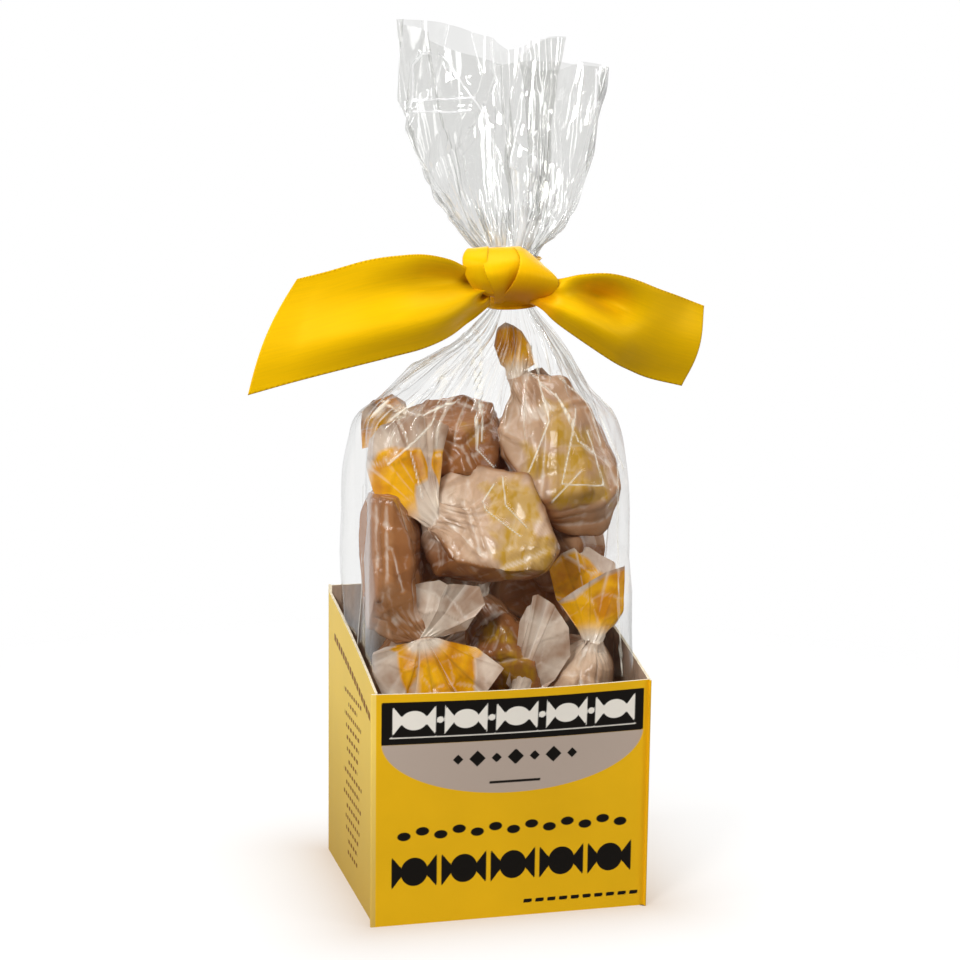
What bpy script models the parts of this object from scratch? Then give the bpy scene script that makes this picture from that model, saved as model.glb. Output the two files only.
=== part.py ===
"""Gift bag of wrapped caramels: an open card carton, a filled clear bag that stands in it, and a ribbon.

Metres, +Z up. The origin is the centre of the carton's underside. The carton's low front wall faces -Y and
its tall back wall faces +Y. Each sub-part is one closed solid with its own material.
"""

import bmesh
import bpy
import numpy as np

MM = 0.001
GAP = 0.3 * MM  # clearance between touching sub-parts
EDGE_MARGIN = 0.01 * MM  # keeps a point that lies on a limit on its own side of it

# Carton: a card tray whose side walls rise from the front wall to the back wall
CARTON_WIDTH = 63.5 * MM
CARTON_DEPTH = 53.5 * MM
FRONT_HEIGHT = 53.3 * MM
SIDE_REAR_HEIGHT = 64.8 * MM
BACK_HEIGHT = 66.5 * MM
CARD = 0.6 * MM
FRONT_BULGE = 2.4 * MM  # how far the filled bag bows the front wall out at the middle of its rim
BULGE_POWER = 1.5  # above 1, most of the bulge lies near the rim
RIM_CROWN = 0.8 * MM  # how far a side rim rises above the straight line between its ends
FOLD_RADIUS = 0.5 * MM
BULGE_START = 0.25  # share of the front wall's height under which it stays flat
WALL_STEPS = 10  # points along each wall, close together by the folds
WALL_LEVELS = 6
CARTON_CREASE = 0.5  # an edge that turns more than this angle stays sharp

# Bag: heights of its levels
NECK_HEIGHT = 141.5 * MM
MOUTH_HEIGHT = 194.5 * MM  # mean height of the mouth's edge
MOUTH_TILT = 4.5 * MM  # the mouth's left side stands this much above the mean, its right side this much below
MOUTH_DIP = 2.6 * MM  # depth of the notch between the mouth's two lobes
MOUTH_DIP_PLACE = -0.05  # the notch's place across the mouth, from -1 at the left to 1 at the right
MOUTH_DIP_WIDTH = 0.18
MOUTH_SINK = 7 * MM  # how far the closed face of the mouth lies below its edge
NECK_CENTRE = (3.8 * MM, -6.0 * MM)
NECK_RADIUS = 4.7 * MM
NECK_HALF_LENGTH = 4.5 * MM
INNER_MOUTH = 0.55  # the mouth's closed face as a share of its edge's size
PLEATS = 12
BAG_SIDES = 72
LEVEL_SAMPLES = 2  # rings for each stretch between two levels
FILM_CREASE = 0.6

# Ribbon: a wide satin strip, gathered round the neck and knotted in front of it
BAND_HALF_HEIGHT = 5.4 * MM
BAND_HALF_THICKNESS = 1.0 * MM
BAND_STEPS = 48
BAND_SIDES = 12
LEFT_CUT = 8.7 * MM  # half the length by which the left tail's cut end slants
RIGHT_CUT = -1.3 * MM
RIBBON_SAMPLES = 4  # sections for each stretch between two stations
RIBBON_SIDES = 20
RIBBON_ROUNDING = 0.6  # power of the section's cosines: 1 is an ellipse, 0 a rectangle
RIBBON_CREASE = 0.7


def clear_scene():
    for obj in list(bpy.data.objects):
        bpy.data.objects.remove(obj, do_unlink=True)


def material(name, colour, roughness):
    made = bpy.data.materials.new(name)
    made.use_nodes = True
    shader = made.node_tree.nodes["Principled BSDF"]
    shader.inputs["Base Color"].default_value = (*colour, 1.0)
    shader.inputs["Roughness"].default_value = roughness
    return made


def object_from(name, points, faces, finish, crease):
    """An object whose edges stay sharp where they turn more than the crease angle."""
    mesh = bpy.data.meshes.new(name)
    mesh.from_pydata(points.tolist(), [], faces)
    model = bmesh.new()
    model.from_mesh(mesh)
    bmesh.ops.recalc_face_normals(model, faces=model.faces)
    model.to_mesh(mesh)
    model.free()
    mesh.shade_smooth()
    mesh.set_sharp_from_angle(angle=crease)
    mesh.materials.append(finish)
    made = bpy.data.objects.new(name, mesh)
    bpy.context.scene.collection.objects.link(made)
    return made


def loft(rings):
    """Points and faces of a closed solid through equal rings, each end closed by a fan to its middle."""
    count, sides = rings.shape[:2]
    points = np.concatenate([rings.reshape(-1, 3), rings[[0, -1]].mean(axis=1)])
    i, j = np.meshgrid(np.arange(count - 1), np.arange(sides), indexing="ij")
    near, far = i * sides + j, i * sides + (j + 1) % sides
    quads = np.stack([near, far, far + sides, near + sides], axis=-1).reshape(-1, 4)
    around = np.arange(sides)
    onward = (around + 1) % sides
    first = np.stack([onward, around, np.full(sides, count * sides)], axis=1)
    start = (count - 1) * sides
    last = np.stack([start + around, start + onward, np.full(sides, count * sides + 1)], axis=1)
    return points, quads.tolist() + first.tolist() + last.tolist()


def smooth_through(knots, samples):
    """A Catmull-Rom curve through the knots, with `samples` points for each stretch between two knots."""
    knots = np.asarray(knots, dtype=float)
    ends = np.concatenate([[2 * knots[0] - knots[1]], knots, [2 * knots[-1] - knots[-2]]])
    t = np.linspace(0, 1, samples, endpoint=False)[:, None]
    stretches = []
    for before, start, stop, after in zip(ends, ends[1:], ends[2:], ends[3:]):
        bend = 2 * before - 5 * start + 4 * stop - after
        turn = 3 * (start - stop) + after - before
        stretches.append(start + 0.5 * t * ((stop - before) + t * (bend + t * turn)))
    return np.concatenate([*stretches, knots[-1:]])


def triangle_wave(phase):
    """A wave from -1 to 1 with straight flanks, of period 2 pi."""
    return 2 / np.pi * np.arcsin(np.sin(phase))


def rim_height(y):
    """Height of the carton's rim: level in front and behind, and sloping with a low crown at the sides."""
    along = np.clip(0.5 + y / CARTON_DEPTH, 0, 1)
    side = FRONT_HEIGHT + (SIDE_REAR_HEIGHT - FRONT_HEIGHT) * along + RIM_CROWN * np.sin(np.pi * along)
    return np.where(y > CARTON_DEPTH / 2 - FOLD_RADIUS + EDGE_MARGIN, BACK_HEIGHT, side)


def wall_loop(inset):
    """The wall's outline, `inset` inside the carton's outer face, with rounded folds, from the front left."""
    half_x, half_y = CARTON_WIDTH / 2 - inset, CARTON_DEPTH / 2 - inset
    radius = max(FOLD_RADIUS - inset, 0.1 * MM)
    share = (1 - np.cos(np.pi * np.linspace(0, 1, WALL_STEPS + 1))) / 2
    corners = [(-1, -1), (1, -1), (1, 1), (-1, 1)]
    points = []
    for (ax, ay), (bx, by) in zip(corners, corners[1:] + corners[:1]):
        start, stop = np.array([ax * half_x, ay * half_y]), np.array([bx * half_x, by * half_y])
        way = (stop - start) / np.linalg.norm(stop - start)
        points.append((start + way * radius) + np.outer(share, stop - start - 2 * way * radius))
    return np.concatenate(points)


def build_carton():
    outer, inner = wall_loop(0), wall_loop(CARD)
    levels = np.linspace(0, 1, WALL_LEVELS)

    def ring(loop, share, floor):
        height = rim_height(outer[:, 1])
        z = floor + share * (height - floor)
        swell = FRONT_BULGE * np.clip((share - BULGE_START) / (1 - BULGE_START), 0, 1) ** BULGE_POWER
        front = loop[:, 1] < -CARTON_DEPTH / 2 + CARD + EDGE_MARGIN
        bow = np.where(front, swell * np.cos(np.pi * loop[:, 0] / CARTON_WIDTH), 0)
        return np.stack([loop[:, 0], loop[:, 1] - bow, z], axis=1)

    rings = [ring(outer, share, 0) for share in levels] + [ring(inner, share, CARD) for share in levels[::-1]]
    points, faces = loft(np.array(rings))
    card = material("carton_card", (0.72, 0.40, 0.012), 0.5)
    return object_from("carton", points, faces, card, CARTON_CREASE)


# Each level of the bag: height, centre x and y, half width, half depth, squareness, pleat depth as a share
BASE_LEVELS = [
    (0.95, 0.0, 0.0, 29.6, 24.6, 9.0, 0.0),  # base, on the carton's floor
    (2.2, 0.0, 0.0, 30.6, 25.6, 9.0, 0.0),
]
BODY_LEVELS = [
    (26.0, 0.0, 0.0, 30.7, 25.7, 9.0, 0.0),
    (50.0, 0.0, 0.0, 30.7, 25.7, 9.0, 0.0),
    (62.0, -0.2, 0.0, 30.5, 24.6, 8.0, 0.0),
    (78.0, -0.4, 0.0, 30.6, 23.4, 7.0, 0.005),
    (93.0, -0.5, -0.2, 30.6, 22.6, 6.0, 0.01),  # widest above the carton
    (103.0, -0.8, -0.8, 30.0, 21.4, 5.0, 0.015),
    (111.0, -1.2, -1.8, 28.2, 19.4, 4.2, 0.02),
    (118.0, 0.3, -3.2, 21.8, 16.0, 3.0, 0.03),  # shoulder
    (124.0, 2.2, -4.6, 15.8, 12.4, 2.6, 0.05),
    (129.5, 3.6, -5.6, 10.0, 8.8, 2.3, 0.07),
    (134.6, 3.8, -6.0, 5.6, 5.3, 2.0, 0.07),
]
FLARE_LEVELS = [  # the same above the neck, with the height as a share of the way up to the mouth's edge
    (0.11, 3.4, -6.0, 5.2, 4.8, 2.0, 0.07),
    (0.20, 2.8, -6.0, 10.2, 7.2, 2.1, 0.10),
    (0.33, 2.4, -6.0, 15.2, 9.6, 2.2, 0.12),
    (0.50, 1.2, -6.0, 18.8, 11.6, 2.3, 0.11),
    (0.70, 1.0, -6.0, 21.6, 13.0, 2.4, 0.09),
    (0.86, 1.4, -6.0, 22.9, 13.8, 2.5, 0.08),
    (1.00, 1.8, -6.0, 23.6, 14.2, 2.6, 0.07),  # mouth
]


def bag_ring(level, angle):
    """One level's outline: a rounded rectangle or oval, by the superellipse formula, in straight pleats."""
    _, x, y, half_width, half_depth, squareness, pleat = level
    across, deep = np.abs(np.cos(angle)) / half_width, np.abs(np.sin(angle)) / half_depth
    radius = (across**squareness + deep**squareness) ** (-1 / squareness)
    radius = radius * (1 + pleat * (triangle_wave(PLEATS * angle) - 0.5))
    return x + radius * np.cos(angle), y + radius * np.sin(angle)


def mouth_height(angle):
    across = np.cos(angle)
    dip = MOUTH_DIP * np.exp(-(((across - MOUTH_DIP_PLACE) / MOUTH_DIP_WIDTH) ** 2))
    return MOUTH_HEIGHT - MOUTH_TILT * across - dip


def build_bag():
    angle = np.linspace(0, 2 * np.pi, BAG_SIDES, endpoint=False)
    rings = []
    for level in BASE_LEVELS + list(smooth_through(BODY_LEVELS, LEVEL_SAMPLES)):
        x, y = bag_ring(level, angle)
        rings.append(np.stack([x, y, np.full_like(x, level[0])], axis=1) * MM)
    neck_x, neck_y = NECK_CENTRE
    for z in (NECK_HEIGHT - NECK_HALF_LENGTH, NECK_HEIGHT, NECK_HEIGHT + NECK_HALF_LENGTH):
        x, y = neck_x + NECK_RADIUS * np.cos(angle), neck_y + NECK_RADIUS * np.sin(angle)
        rings.append(np.stack([x, y, np.full_like(x, z)], axis=1))
    for level in smooth_through(FLARE_LEVELS, LEVEL_SAMPLES):
        x, y = bag_ring(level, angle)
        z = NECK_HEIGHT + level[0] * (mouth_height(angle) - NECK_HEIGHT)
        rings.append(np.stack([x * MM, y * MM, z], axis=1))
    inner = rings[-1].copy()
    middle = inner.mean(axis=0)
    inner[:, :2] = middle[:2] + INNER_MOUTH * (inner[:, :2] - middle[:2])
    inner[:, 2] -= MOUTH_SINK
    rings.append(inner)
    points, faces = loft(np.array(rings))
    film = material("clear_film", (0.9, 0.9, 0.9), 0.08)
    return object_from("bag", points, faces, film, FILM_CREASE)


# The ribbon from its left tail's end to its right tail's: centre x, y, z, half width, half thickness
RIBBON_RUN = [
    (-52.0, -14.0, 130.7, 10.6, 0.4),
    (-38.0, -17.0, 134.9, 11.0, 0.4),
    (-25.0, -19.0, 137.5, 11.0, 0.4),
    (-15.5, -18.6, 139.3, 9.0, 0.6),
    (-9.0, -17.2, 140.0, 5.8, 1.6),
    (-4.5, -16.8, 141.6, 6.4, 3.4),
    (1.2, -16.6, 143.0, 7.3, 4.4),  # knot
    (6.6, -16.8, 141.8, 6.6, 3.5),
    (11.0, -17.2, 138.8, 4.7, 1.7),
    (17.0, -18.6, 136.5, 7.8, 0.6),
    (24.5, -18.8, 134.0, 10.2, 0.4),
    (34.0, -16.8, 130.5, 10.7, 0.4),
    (45.6, -13.0, 127.0, 9.6, 0.4),
]
CUT_REACH = 14 * MM  # the length over which a tail's slanted end eases back to a square section


def build_ribbon():
    run = smooth_through(RIBBON_RUN, RIBBON_SAMPLES) * MM
    centre, half_width, half_thickness = run[:, :3], run[:, 3], run[:, 4]
    along = np.gradient(centre, axis=0)
    along /= np.linalg.norm(along, axis=1)[:, None]
    across = np.cross(along, (0, 1, 0))
    across /= np.linalg.norm(across, axis=1)[:, None]
    out = np.cross(along, across)
    turn = np.linspace(0, 2 * np.pi, RIBBON_SIDES, endpoint=False)
    width = np.sign(np.cos(turn)) * np.abs(np.cos(turn)) ** RIBBON_ROUNDING
    depth = np.sign(np.sin(turn)) * np.abs(np.sin(turn)) ** RIBBON_ROUNDING
    travelled = np.concatenate([[0], np.cumsum(np.linalg.norm(np.diff(centre, axis=0), axis=1))])
    left_ease = np.clip(1 - travelled / CUT_REACH, 0, 1)
    right_ease = np.clip(1 - (travelled[-1] - travelled) / CUT_REACH, 0, 1)
    slant = LEFT_CUT * left_ease + RIGHT_CUT * right_ease
    rings = (
        centre[:, None]
        + across[:, None] * (half_width[:, None] * width)[..., None]
        + out[:, None] * (half_thickness[:, None] * depth)[..., None]
        + along[:, None] * (slant[:, None] * width)[..., None]
    )
    satin = material("satin_ribbon", (0.82, 0.50, 0.0), 0.35)
    points, faces = loft(rings)
    ribbon = object_from("ribbon", points, faces, satin, RIBBON_CREASE)
    join(ribbon, build_band())
    return ribbon


def build_band():
    """The part of the ribbon that is gathered round the neck: a turned oval ring with folds along it."""
    angle = np.linspace(0, 2 * np.pi, BAND_STEPS, endpoint=False)
    turn = np.linspace(0, 2 * np.pi, BAND_SIDES, endpoint=False)
    middle = NECK_RADIUS + GAP + BAND_HALF_THICKNESS
    radius = middle + BAND_HALF_THICKNESS * np.cos(turn)
    height = NECK_HEIGHT + BAND_HALF_HEIGHT * np.sin(turn)
    neck_x, neck_y = NECK_CENTRE
    points = np.stack(
        [
            neck_x + np.outer(np.cos(angle), radius),
            neck_y + np.outer(np.sin(angle), radius),
            np.broadcast_to(height, (len(angle), len(turn))),
        ],
        axis=-1,
    ).reshape(-1, 3)
    i, j = np.meshgrid(np.arange(len(angle)), np.arange(len(turn)), indexing="ij")
    ahead, beside = (i + 1) % len(angle), (j + 1) % len(turn)
    corners = [(i, j), (ahead, j), (ahead, beside), (i, beside)]
    faces = np.stack([row * len(turn) + column for row, column in corners], axis=-1)
    satin = bpy.data.materials["satin_ribbon"]
    return object_from("ribbon_band", points, faces.reshape(-1, 4).tolist(), satin, RIBBON_CREASE)


def join(target, tool):
    """Unites the tool with the target, and keeps the tool out of the render."""
    tool.hide_render = True
    tool.display_type = "WIRE"
    union = target.modifiers.new("join_band", "BOOLEAN")
    union.operation = "UNION"
    union.object = tool


clear_scene()
build_carton()
build_bag()
build_ribbon()
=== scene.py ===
"""Gift bag of wrapped caramels: the looks. A printed carton, a clear bag of twist-wrapped caramels, a satin ribbon.

Shapes are worked out in millimetres, on grids of rows and columns, and turned to metres as each mesh is made.
"""

import bmesh
import bpy
import numpy as np
from mathutils import Matrix, Vector


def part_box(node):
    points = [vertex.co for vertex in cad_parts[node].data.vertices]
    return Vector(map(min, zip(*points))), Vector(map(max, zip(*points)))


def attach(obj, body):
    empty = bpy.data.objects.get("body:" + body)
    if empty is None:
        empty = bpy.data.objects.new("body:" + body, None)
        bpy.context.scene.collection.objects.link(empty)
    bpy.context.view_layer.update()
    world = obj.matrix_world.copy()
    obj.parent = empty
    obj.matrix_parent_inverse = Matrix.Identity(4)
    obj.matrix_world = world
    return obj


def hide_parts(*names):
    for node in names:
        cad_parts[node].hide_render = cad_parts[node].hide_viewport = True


bl_info = {
    "name": "Gift Bag of Caramels",
    "version": (1, 0, 0),
    "blender": (4, 5, 0),
    "location": "View3D > Sidebar > Caramels",
    "description": "Builds a clear gift bag of wrapped caramels in a printed carton, tied with a satin ribbon",
    "category": "Object",
}

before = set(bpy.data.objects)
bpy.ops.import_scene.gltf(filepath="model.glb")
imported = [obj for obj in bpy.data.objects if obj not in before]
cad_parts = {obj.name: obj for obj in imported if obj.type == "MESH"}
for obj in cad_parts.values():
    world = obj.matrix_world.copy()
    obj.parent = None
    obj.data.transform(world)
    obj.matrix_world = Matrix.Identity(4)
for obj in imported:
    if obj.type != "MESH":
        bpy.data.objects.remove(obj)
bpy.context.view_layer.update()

MM = 0.001
TURN = 2 * np.pi
CARTON_LOW, CARTON_HIGH = (np.array(corner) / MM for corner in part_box("carton"))
CARTON_WIDTH = CARTON_HIGH[0] - CARTON_LOW[0]
CARTON_DEPTH = 53.5
FRONT_HEIGHT = 53.3
SIDE_REAR_HEIGHT = 64.8
BACK_HEIGHT = CARTON_HIGH[2]
NECK = (3.8, -6.0)
NECK_RADIUS = 4.7
NECK_TOP = 146.0


# ---------------------------------------------------------------- colours, nodes and meshes


def linear(code, alpha=1.0):
    """A hex sRGB colour as linear RGBA."""
    shares = [int(code[i : i + 2], 16) / 255 for i in (1, 3, 5)]
    return (*(s / 12.92 if s <= 0.04045 else ((s + 0.055) / 1.055) ** 2.4 for s in shares), alpha)


def add_node(tree, kind, inputs=None, **settings):
    """Adds a node with its settings; an input takes a plain value, or the output socket it is linked from."""
    made = tree.nodes.new(kind)
    for name, value in settings.items():
        setattr(made, name, value)
    for key, value in (inputs or {}).items():
        if isinstance(value, bpy.types.NodeSocket):
            tree.links.new(value, made.inputs[key])
        else:
            made.inputs[key].default_value = value
    return made


def new_material(name):
    """An empty node material and its tree."""
    made = bpy.data.materials.new(name)
    made.use_nodes = True
    made.node_tree.nodes.clear()
    return made, made.node_tree


def maths(tree, operation, *values, clamp=False):
    """The output of one Math node."""
    inputs = dict(enumerate(values))
    return add_node(tree, "ShaderNodeMath", inputs, operation=operation, use_clamp=clamp).outputs[0]


def blend(tree, share, low, high):
    """The colour between low and high at that share."""
    inputs = {0: share, 6: low, 7: high}
    return add_node(tree, "ShaderNodeMix", inputs, data_type="RGBA").outputs[2]


def attribute(tree, name):
    """The value of a mesh attribute."""
    return add_node(tree, "ShaderNodeAttribute", attribute_name=name).outputs["Fac"]


def inside(tree, name, sharpness=6.0):
    """1 where the distance field of that name, in mm, is above nought, and 0 outside, with a narrow edge."""
    return maths(tree, "MULTIPLY_ADD", attribute(tree, name), sharpness, 0.5, clamp=True)


def grid_faces(rows, columns, closed, flip):
    """The quads of a grid; closed joins its last column to its first."""
    i, j = np.meshgrid(np.arange(rows - 1), np.arange(columns if closed else columns - 1), indexing="ij")
    ahead = (j + 1) % columns
    quads = np.stack([i * columns + j, i * columns + ahead, (i + 1) * columns + ahead, (i + 1) * columns + j], -1)
    quads = quads.reshape(-1, 4)
    return quads[:, ::-1] if flip else quads


def patch(points, closed=False, flip=False, finish=0, uv=None, **fields):
    """One grid of a piece: its points (rows, columns, 3) in mm, and a value for each point in each field."""
    return {"points": points, "closed": closed, "flip": flip, "finish": finish, "uv": uv, "fields": fields}


def add_piece(name, patches, finishes, smooth=None):
    """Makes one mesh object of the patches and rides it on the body."""
    points, quads, finish, offset = [], [], [], 0
    for one in patches:
        rows, columns = one["points"].shape[:2]
        points.append(one["points"].reshape(-1, 3))
        faces = grid_faces(rows, columns, one["closed"], one["flip"]) + offset
        quads.append(faces)
        finish.append(np.full(len(faces), one["finish"]))
        offset += rows * columns
    points, quads, finish = np.concatenate(points) * MM, np.concatenate(quads), np.concatenate(finish)
    mesh = bpy.data.meshes.new(name)
    mesh.vertices.add(len(points))
    mesh.vertices.foreach_set("co", points.astype(np.float32).ravel())
    mesh.loops.add(quads.size)
    mesh.loops.foreach_set("vertex_index", quads.astype(np.int32).ravel())
    mesh.polygons.add(len(quads))
    mesh.polygons.foreach_set("loop_start", np.arange(0, quads.size, 4, dtype=np.int32))
    mesh.update(calc_edges=True)
    for field in sorted({field for one in patches for field in one["fields"]}):
        values = [
            np.broadcast_to(one["fields"].get(field, 0.0), one["points"].shape[:2]).ravel() for one in patches
        ]
        made = mesh.attributes.new(field, "FLOAT", "POINT")
        made.data.foreach_set("value", np.concatenate(values).astype(np.float32))
    if patches[0]["uv"] is not None:
        places = np.concatenate([one["uv"].reshape(-1, 2) for one in patches])
        layer = mesh.uv_layers.new(name="UVMap")
        layer.data.foreach_set("uv", places[quads.ravel()].astype(np.float32).ravel())
    for made in finishes:
        mesh.materials.append(made)
    mesh.polygons.foreach_set("material_index", finish.astype(np.int32))
    # Where a grid closes on a pole its quads have two corners in one place: they become triangles
    closed_up = bmesh.new()
    closed_up.from_mesh(mesh)
    bmesh.ops.dissolve_degenerate(closed_up, dist=1e-7, edges=closed_up.edges)
    closed_up.to_mesh(mesh)
    closed_up.free()
    mesh.shade_smooth()
    if smooth is not None:
        mesh.set_sharp_from_angle(angle=np.radians(smooth))
    mesh.validate()
    piece = bpy.data.objects.new(name, mesh)
    bpy.context.scene.collection.objects.link(piece)
    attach(piece, "root")
    return piece


# ---------------------------------------------------------------- curves and relief


def ease(x):
    """Rises smoothly from 0 to 1 as x goes from 0 to 1."""
    x = np.clip(x, 0, 1)
    return x * x * (3 - 2 * x)


def zigzag(x):
    """A wave of period 1 with straight flanks, from -1 at whole numbers to 1 halfway between them."""
    return 4 * np.abs(x - np.floor(x + 0.5)) - 1


def curve_through(knots, shares):
    """The Catmull-Rom curve through the knots, at each share of the way; every stretch takes an equal share."""
    knots = np.asarray(knots, float)
    ends = np.concatenate([[2 * knots[0] - knots[1]], knots, [2 * knots[-1] - knots[-2]]])
    place = np.clip(shares, 0, 1) * (len(knots) - 1)
    i = np.minimum(place.astype(int), len(knots) - 2)
    t = (place - i)[..., None]
    before, start, stop, after = ends[i], ends[i + 1], ends[i + 2], ends[i + 3]
    bend = 2 * before - 5 * start + 4 * stop - after
    return start + 0.5 * t * ((stop - before) + t * (bend + t * (3 * (start - stop) + after - before)))


def unit(vector):
    vector = np.asarray(vector, float)
    return vector / np.linalg.norm(vector, axis=-1, keepdims=True)


def normals(points, closed):
    """Unit normals of a grid, from the cross product of its steps across and along."""
    across = np.roll(points, -1, 1) - np.roll(points, 1, 1) if closed else np.gradient(points, axis=1)
    return unit(np.cross(across, np.gradient(points, axis=0)) + 1e-12)


def creases(points, closed=True):
    """How sharply a grid bends at each point: its height over the mean of its neighbours, over 0.04 mm.

    Ridges are above nought and valleys below it."""
    beside = [np.roll(points, step, 1) for step in (-1, 1)]
    padded = np.concatenate([points[:1], points, points[-1:]])
    mean = (beside[0] + beside[1] + padded[:-2] + padded[2:]) / 4
    return np.clip(((points - mean) * normals(points, closed)).sum(-1) / 0.04, -1.5, 1.5)


def softened(field):
    """A field on a closed grid, averaged with its four neighbours, which count half as much again together."""
    padded = np.concatenate([field[:1], field, field[-1:]])
    return (2 * field + np.roll(field, 1, 1) + np.roll(field, -1, 1) + padded[:-2] + padded[2:]) / 6


def pleats(turn, rise, rng, count, wide, start, stop):
    """Seeded sharp pleats: straight-sided ridges and valleys, each at its own place round the ring and its own width,
    which begin and end at their own shares of the rise; their heights are added up."""
    relief = 0
    for _ in range(count):
        place, lean = rng.uniform(0, 1), rng.normal(0, 0.012)
        off = np.abs((turn - place - lean * rise + 0.5) % 1 - 0.5)
        first, last = rng.uniform(*start), rng.uniform(*stop)
        near = ease((rise - first) / 0.12) * (1 - ease((rise - last) / 0.15))
        relief = relief + rng.choice((-1.0, 1.0)) * rng.uniform(0.4, 1.0) * near * np.maximum(
            1 - off / rng.uniform(*wide), 0
        )
    return relief


def facets(places, count, depth, seed):
    """Relief of flat facets that meet in straight creases, like crumpled foil.

    The squared distance to the nearest of one set of scattered places, less that to the nearest of another:
    the squares cancel, so it is linear wherever the two nearest places stay the same.
    """
    rng = np.random.default_rng(seed)
    flat = places.reshape(-1, places.shape[-1])
    reach = []
    for _ in range(2):
        seeds = flat[rng.choice(len(flat), count, replace=False)]
        square = (seeds**2).sum(1)
        blocks = np.array_split(flat, len(flat) // 20000 + 1)
        reach.append(np.concatenate([(square - 2 * block @ seeds.T).min(1) for block in blocks]))
    relief = reach[0] - reach[1]
    relief = np.clip(relief / (2 * relief.std()), -2, 2)
    return depth * relief.reshape(places.shape[:-1])


def line_distance(x, z, lines):
    """Distance from each place to the nearest of the broken lines, each given by its corners."""
    nearest = np.full(np.shape(x), 99.0)
    for line in lines:
        for (ax, az), (bx, bz) in zip(line, line[1:]):
            run = np.array([bx - ax, bz - az])
            share = np.clip(((x - ax) * run[0] + (z - az) * run[1]) / (run @ run), 0, 1)
            nearest = np.minimum(nearest, np.hypot(x - ax - share * run[0], z - az - share * run[1]))
    return nearest


# ---------------------------------------------------------------- settings


class CartonSettings(bpy.types.PropertyGroup):
    card: bpy.props.FloatProperty(
        name="Card", description="Thickness of the carton's card", default=0.6 * MM, unit="LENGTH"
    )
    bulge: bpy.props.FloatProperty(
        name="Front bulge", description="How far the filled bag bows the front wall", default=2.4 * MM, unit="LENGTH"
    )
    yellow: bpy.props.FloatVectorProperty(
        name="Yellow", description="Printed ground", size=4, subtype="COLOR", default=linear("#F2BA12")
    )
    ink: bpy.props.FloatVectorProperty(
        name="Ink", description="Black print", size=4, subtype="COLOR", default=linear("#14100C")
    )
    grey: bpy.props.FloatVectorProperty(
        name="Grey", description="Grey panel under the band", size=4, subtype="COLOR", default=linear("#B8A698")
    )
    cream: bpy.props.FloatVectorProperty(
        name="Cream", description="Motifs on the black band", size=4, subtype="COLOR", default=linear("#EFE8DC")
    )
    board: bpy.props.FloatVectorProperty(
        name="Board", description="Bare board inside", size=4, subtype="COLOR", default=linear("#B79C86")
    )


class FilmSettings(bpy.types.PropertyGroup):
    crumple: bpy.props.FloatProperty(
        name="Crumple", description="Depth of the film's facets", default=0.55 * MM, unit="LENGTH"
    )
    tint: bpy.props.FloatVectorProperty(
        name="Tint", description="Light that one layer of the body lets through", size=4, subtype="COLOR",
        default=(0.975, 0.975, 0.97, 1.0),
    )
    # The colour of the painted highlight along the folds over the caramels
    fold_highlight_tint: bpy.props.FloatVectorProperty(
        name="Fold tint", description="Folds over the caramels", size=4, subtype="COLOR", default=(0.99, 0.94, 0.8, 1.0)
    )
    flare_tint: bpy.props.FloatVectorProperty(
        name="Flare tint", description="Light that one layer of the flare lets through", size=4, subtype="COLOR",
        default=(0.93, 0.93, 0.92, 1.0),
    )


class SweetSettings(bpy.types.PropertyGroup):
    paper: bpy.props.FloatVectorProperty(
        name="Paper", description="Waxed paper", size=4, subtype="COLOR", default=linear("#D8B99C")
    )
    loose: bpy.props.FloatVectorProperty(
        name="Loose", description="Paper with nothing behind it", size=4, subtype="COLOR", default=linear("#DCC8B4")
    )
    cling: bpy.props.FloatVectorProperty(
        name="Cling", description="Paper that half clings to the caramel", size=4, subtype="COLOR",
        default=linear("#B2794A"),
    )
    caramel: bpy.props.FloatVectorProperty(
        name="Caramel", description="Caramel seen through tight paper", size=4, subtype="COLOR",
        default=linear("#9C6236"),
    )
    print_yellow: bpy.props.FloatVectorProperty(
        name="Print", description="Yellow print on the paper", size=4, subtype="COLOR", default=linear("#FCBA00")
    )
    neck_radius: bpy.props.FloatProperty(
        name="Neck", description="Radius of a wrapper's twist", default=2.5 * MM, unit="LENGTH"
    )


class RibbonSettings(bpy.types.PropertyGroup):
    thickness: bpy.props.FloatProperty(
        name="Thickness", description="Thickness of the ribbon", default=0.25 * MM, unit="LENGTH"
    )
    flat_width: bpy.props.FloatProperty(
        name="Width", description="Width of the ribbon laid flat", default=22 * MM, unit="LENGTH"
    )
    flat_length: bpy.props.FloatProperty(
        name="Length", description="Length of the ribbon before it is tied", default=180 * MM, unit="LENGTH"
    )
    satin: bpy.props.FloatVectorProperty(
        name="Satin", description="Satin", size=4, subtype="COLOR", default=linear("#F4BE06")
    )


class StageSettings(bpy.types.PropertyGroup):
    lens: bpy.props.FloatProperty(name="Lens", description="Focal length in mm on a 36 mm sensor", default=82.5)
    key: bpy.props.FloatProperty(name="Key", description="Power of the key light", default=6.9, unit="POWER")
    fill: bpy.props.FloatProperty(name="Fill", description="Power of the fill light", default=2.3, unit="POWER")


# ---------------------------------------------------------------- carton


def rim_height(y):
    """Height of the carton's rim: level in front and behind, and sloping with a low crown at the sides."""
    along = np.clip(0.5 + y / CARTON_DEPTH, 0, 1)
    side = FRONT_HEIGHT + (SIDE_REAR_HEIGHT - FRONT_HEIGHT) * along + 0.8 * np.sin(np.pi * along)
    return np.where(y > CARTON_DEPTH / 2 - 0.45, BACK_HEIGHT, side)


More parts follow.
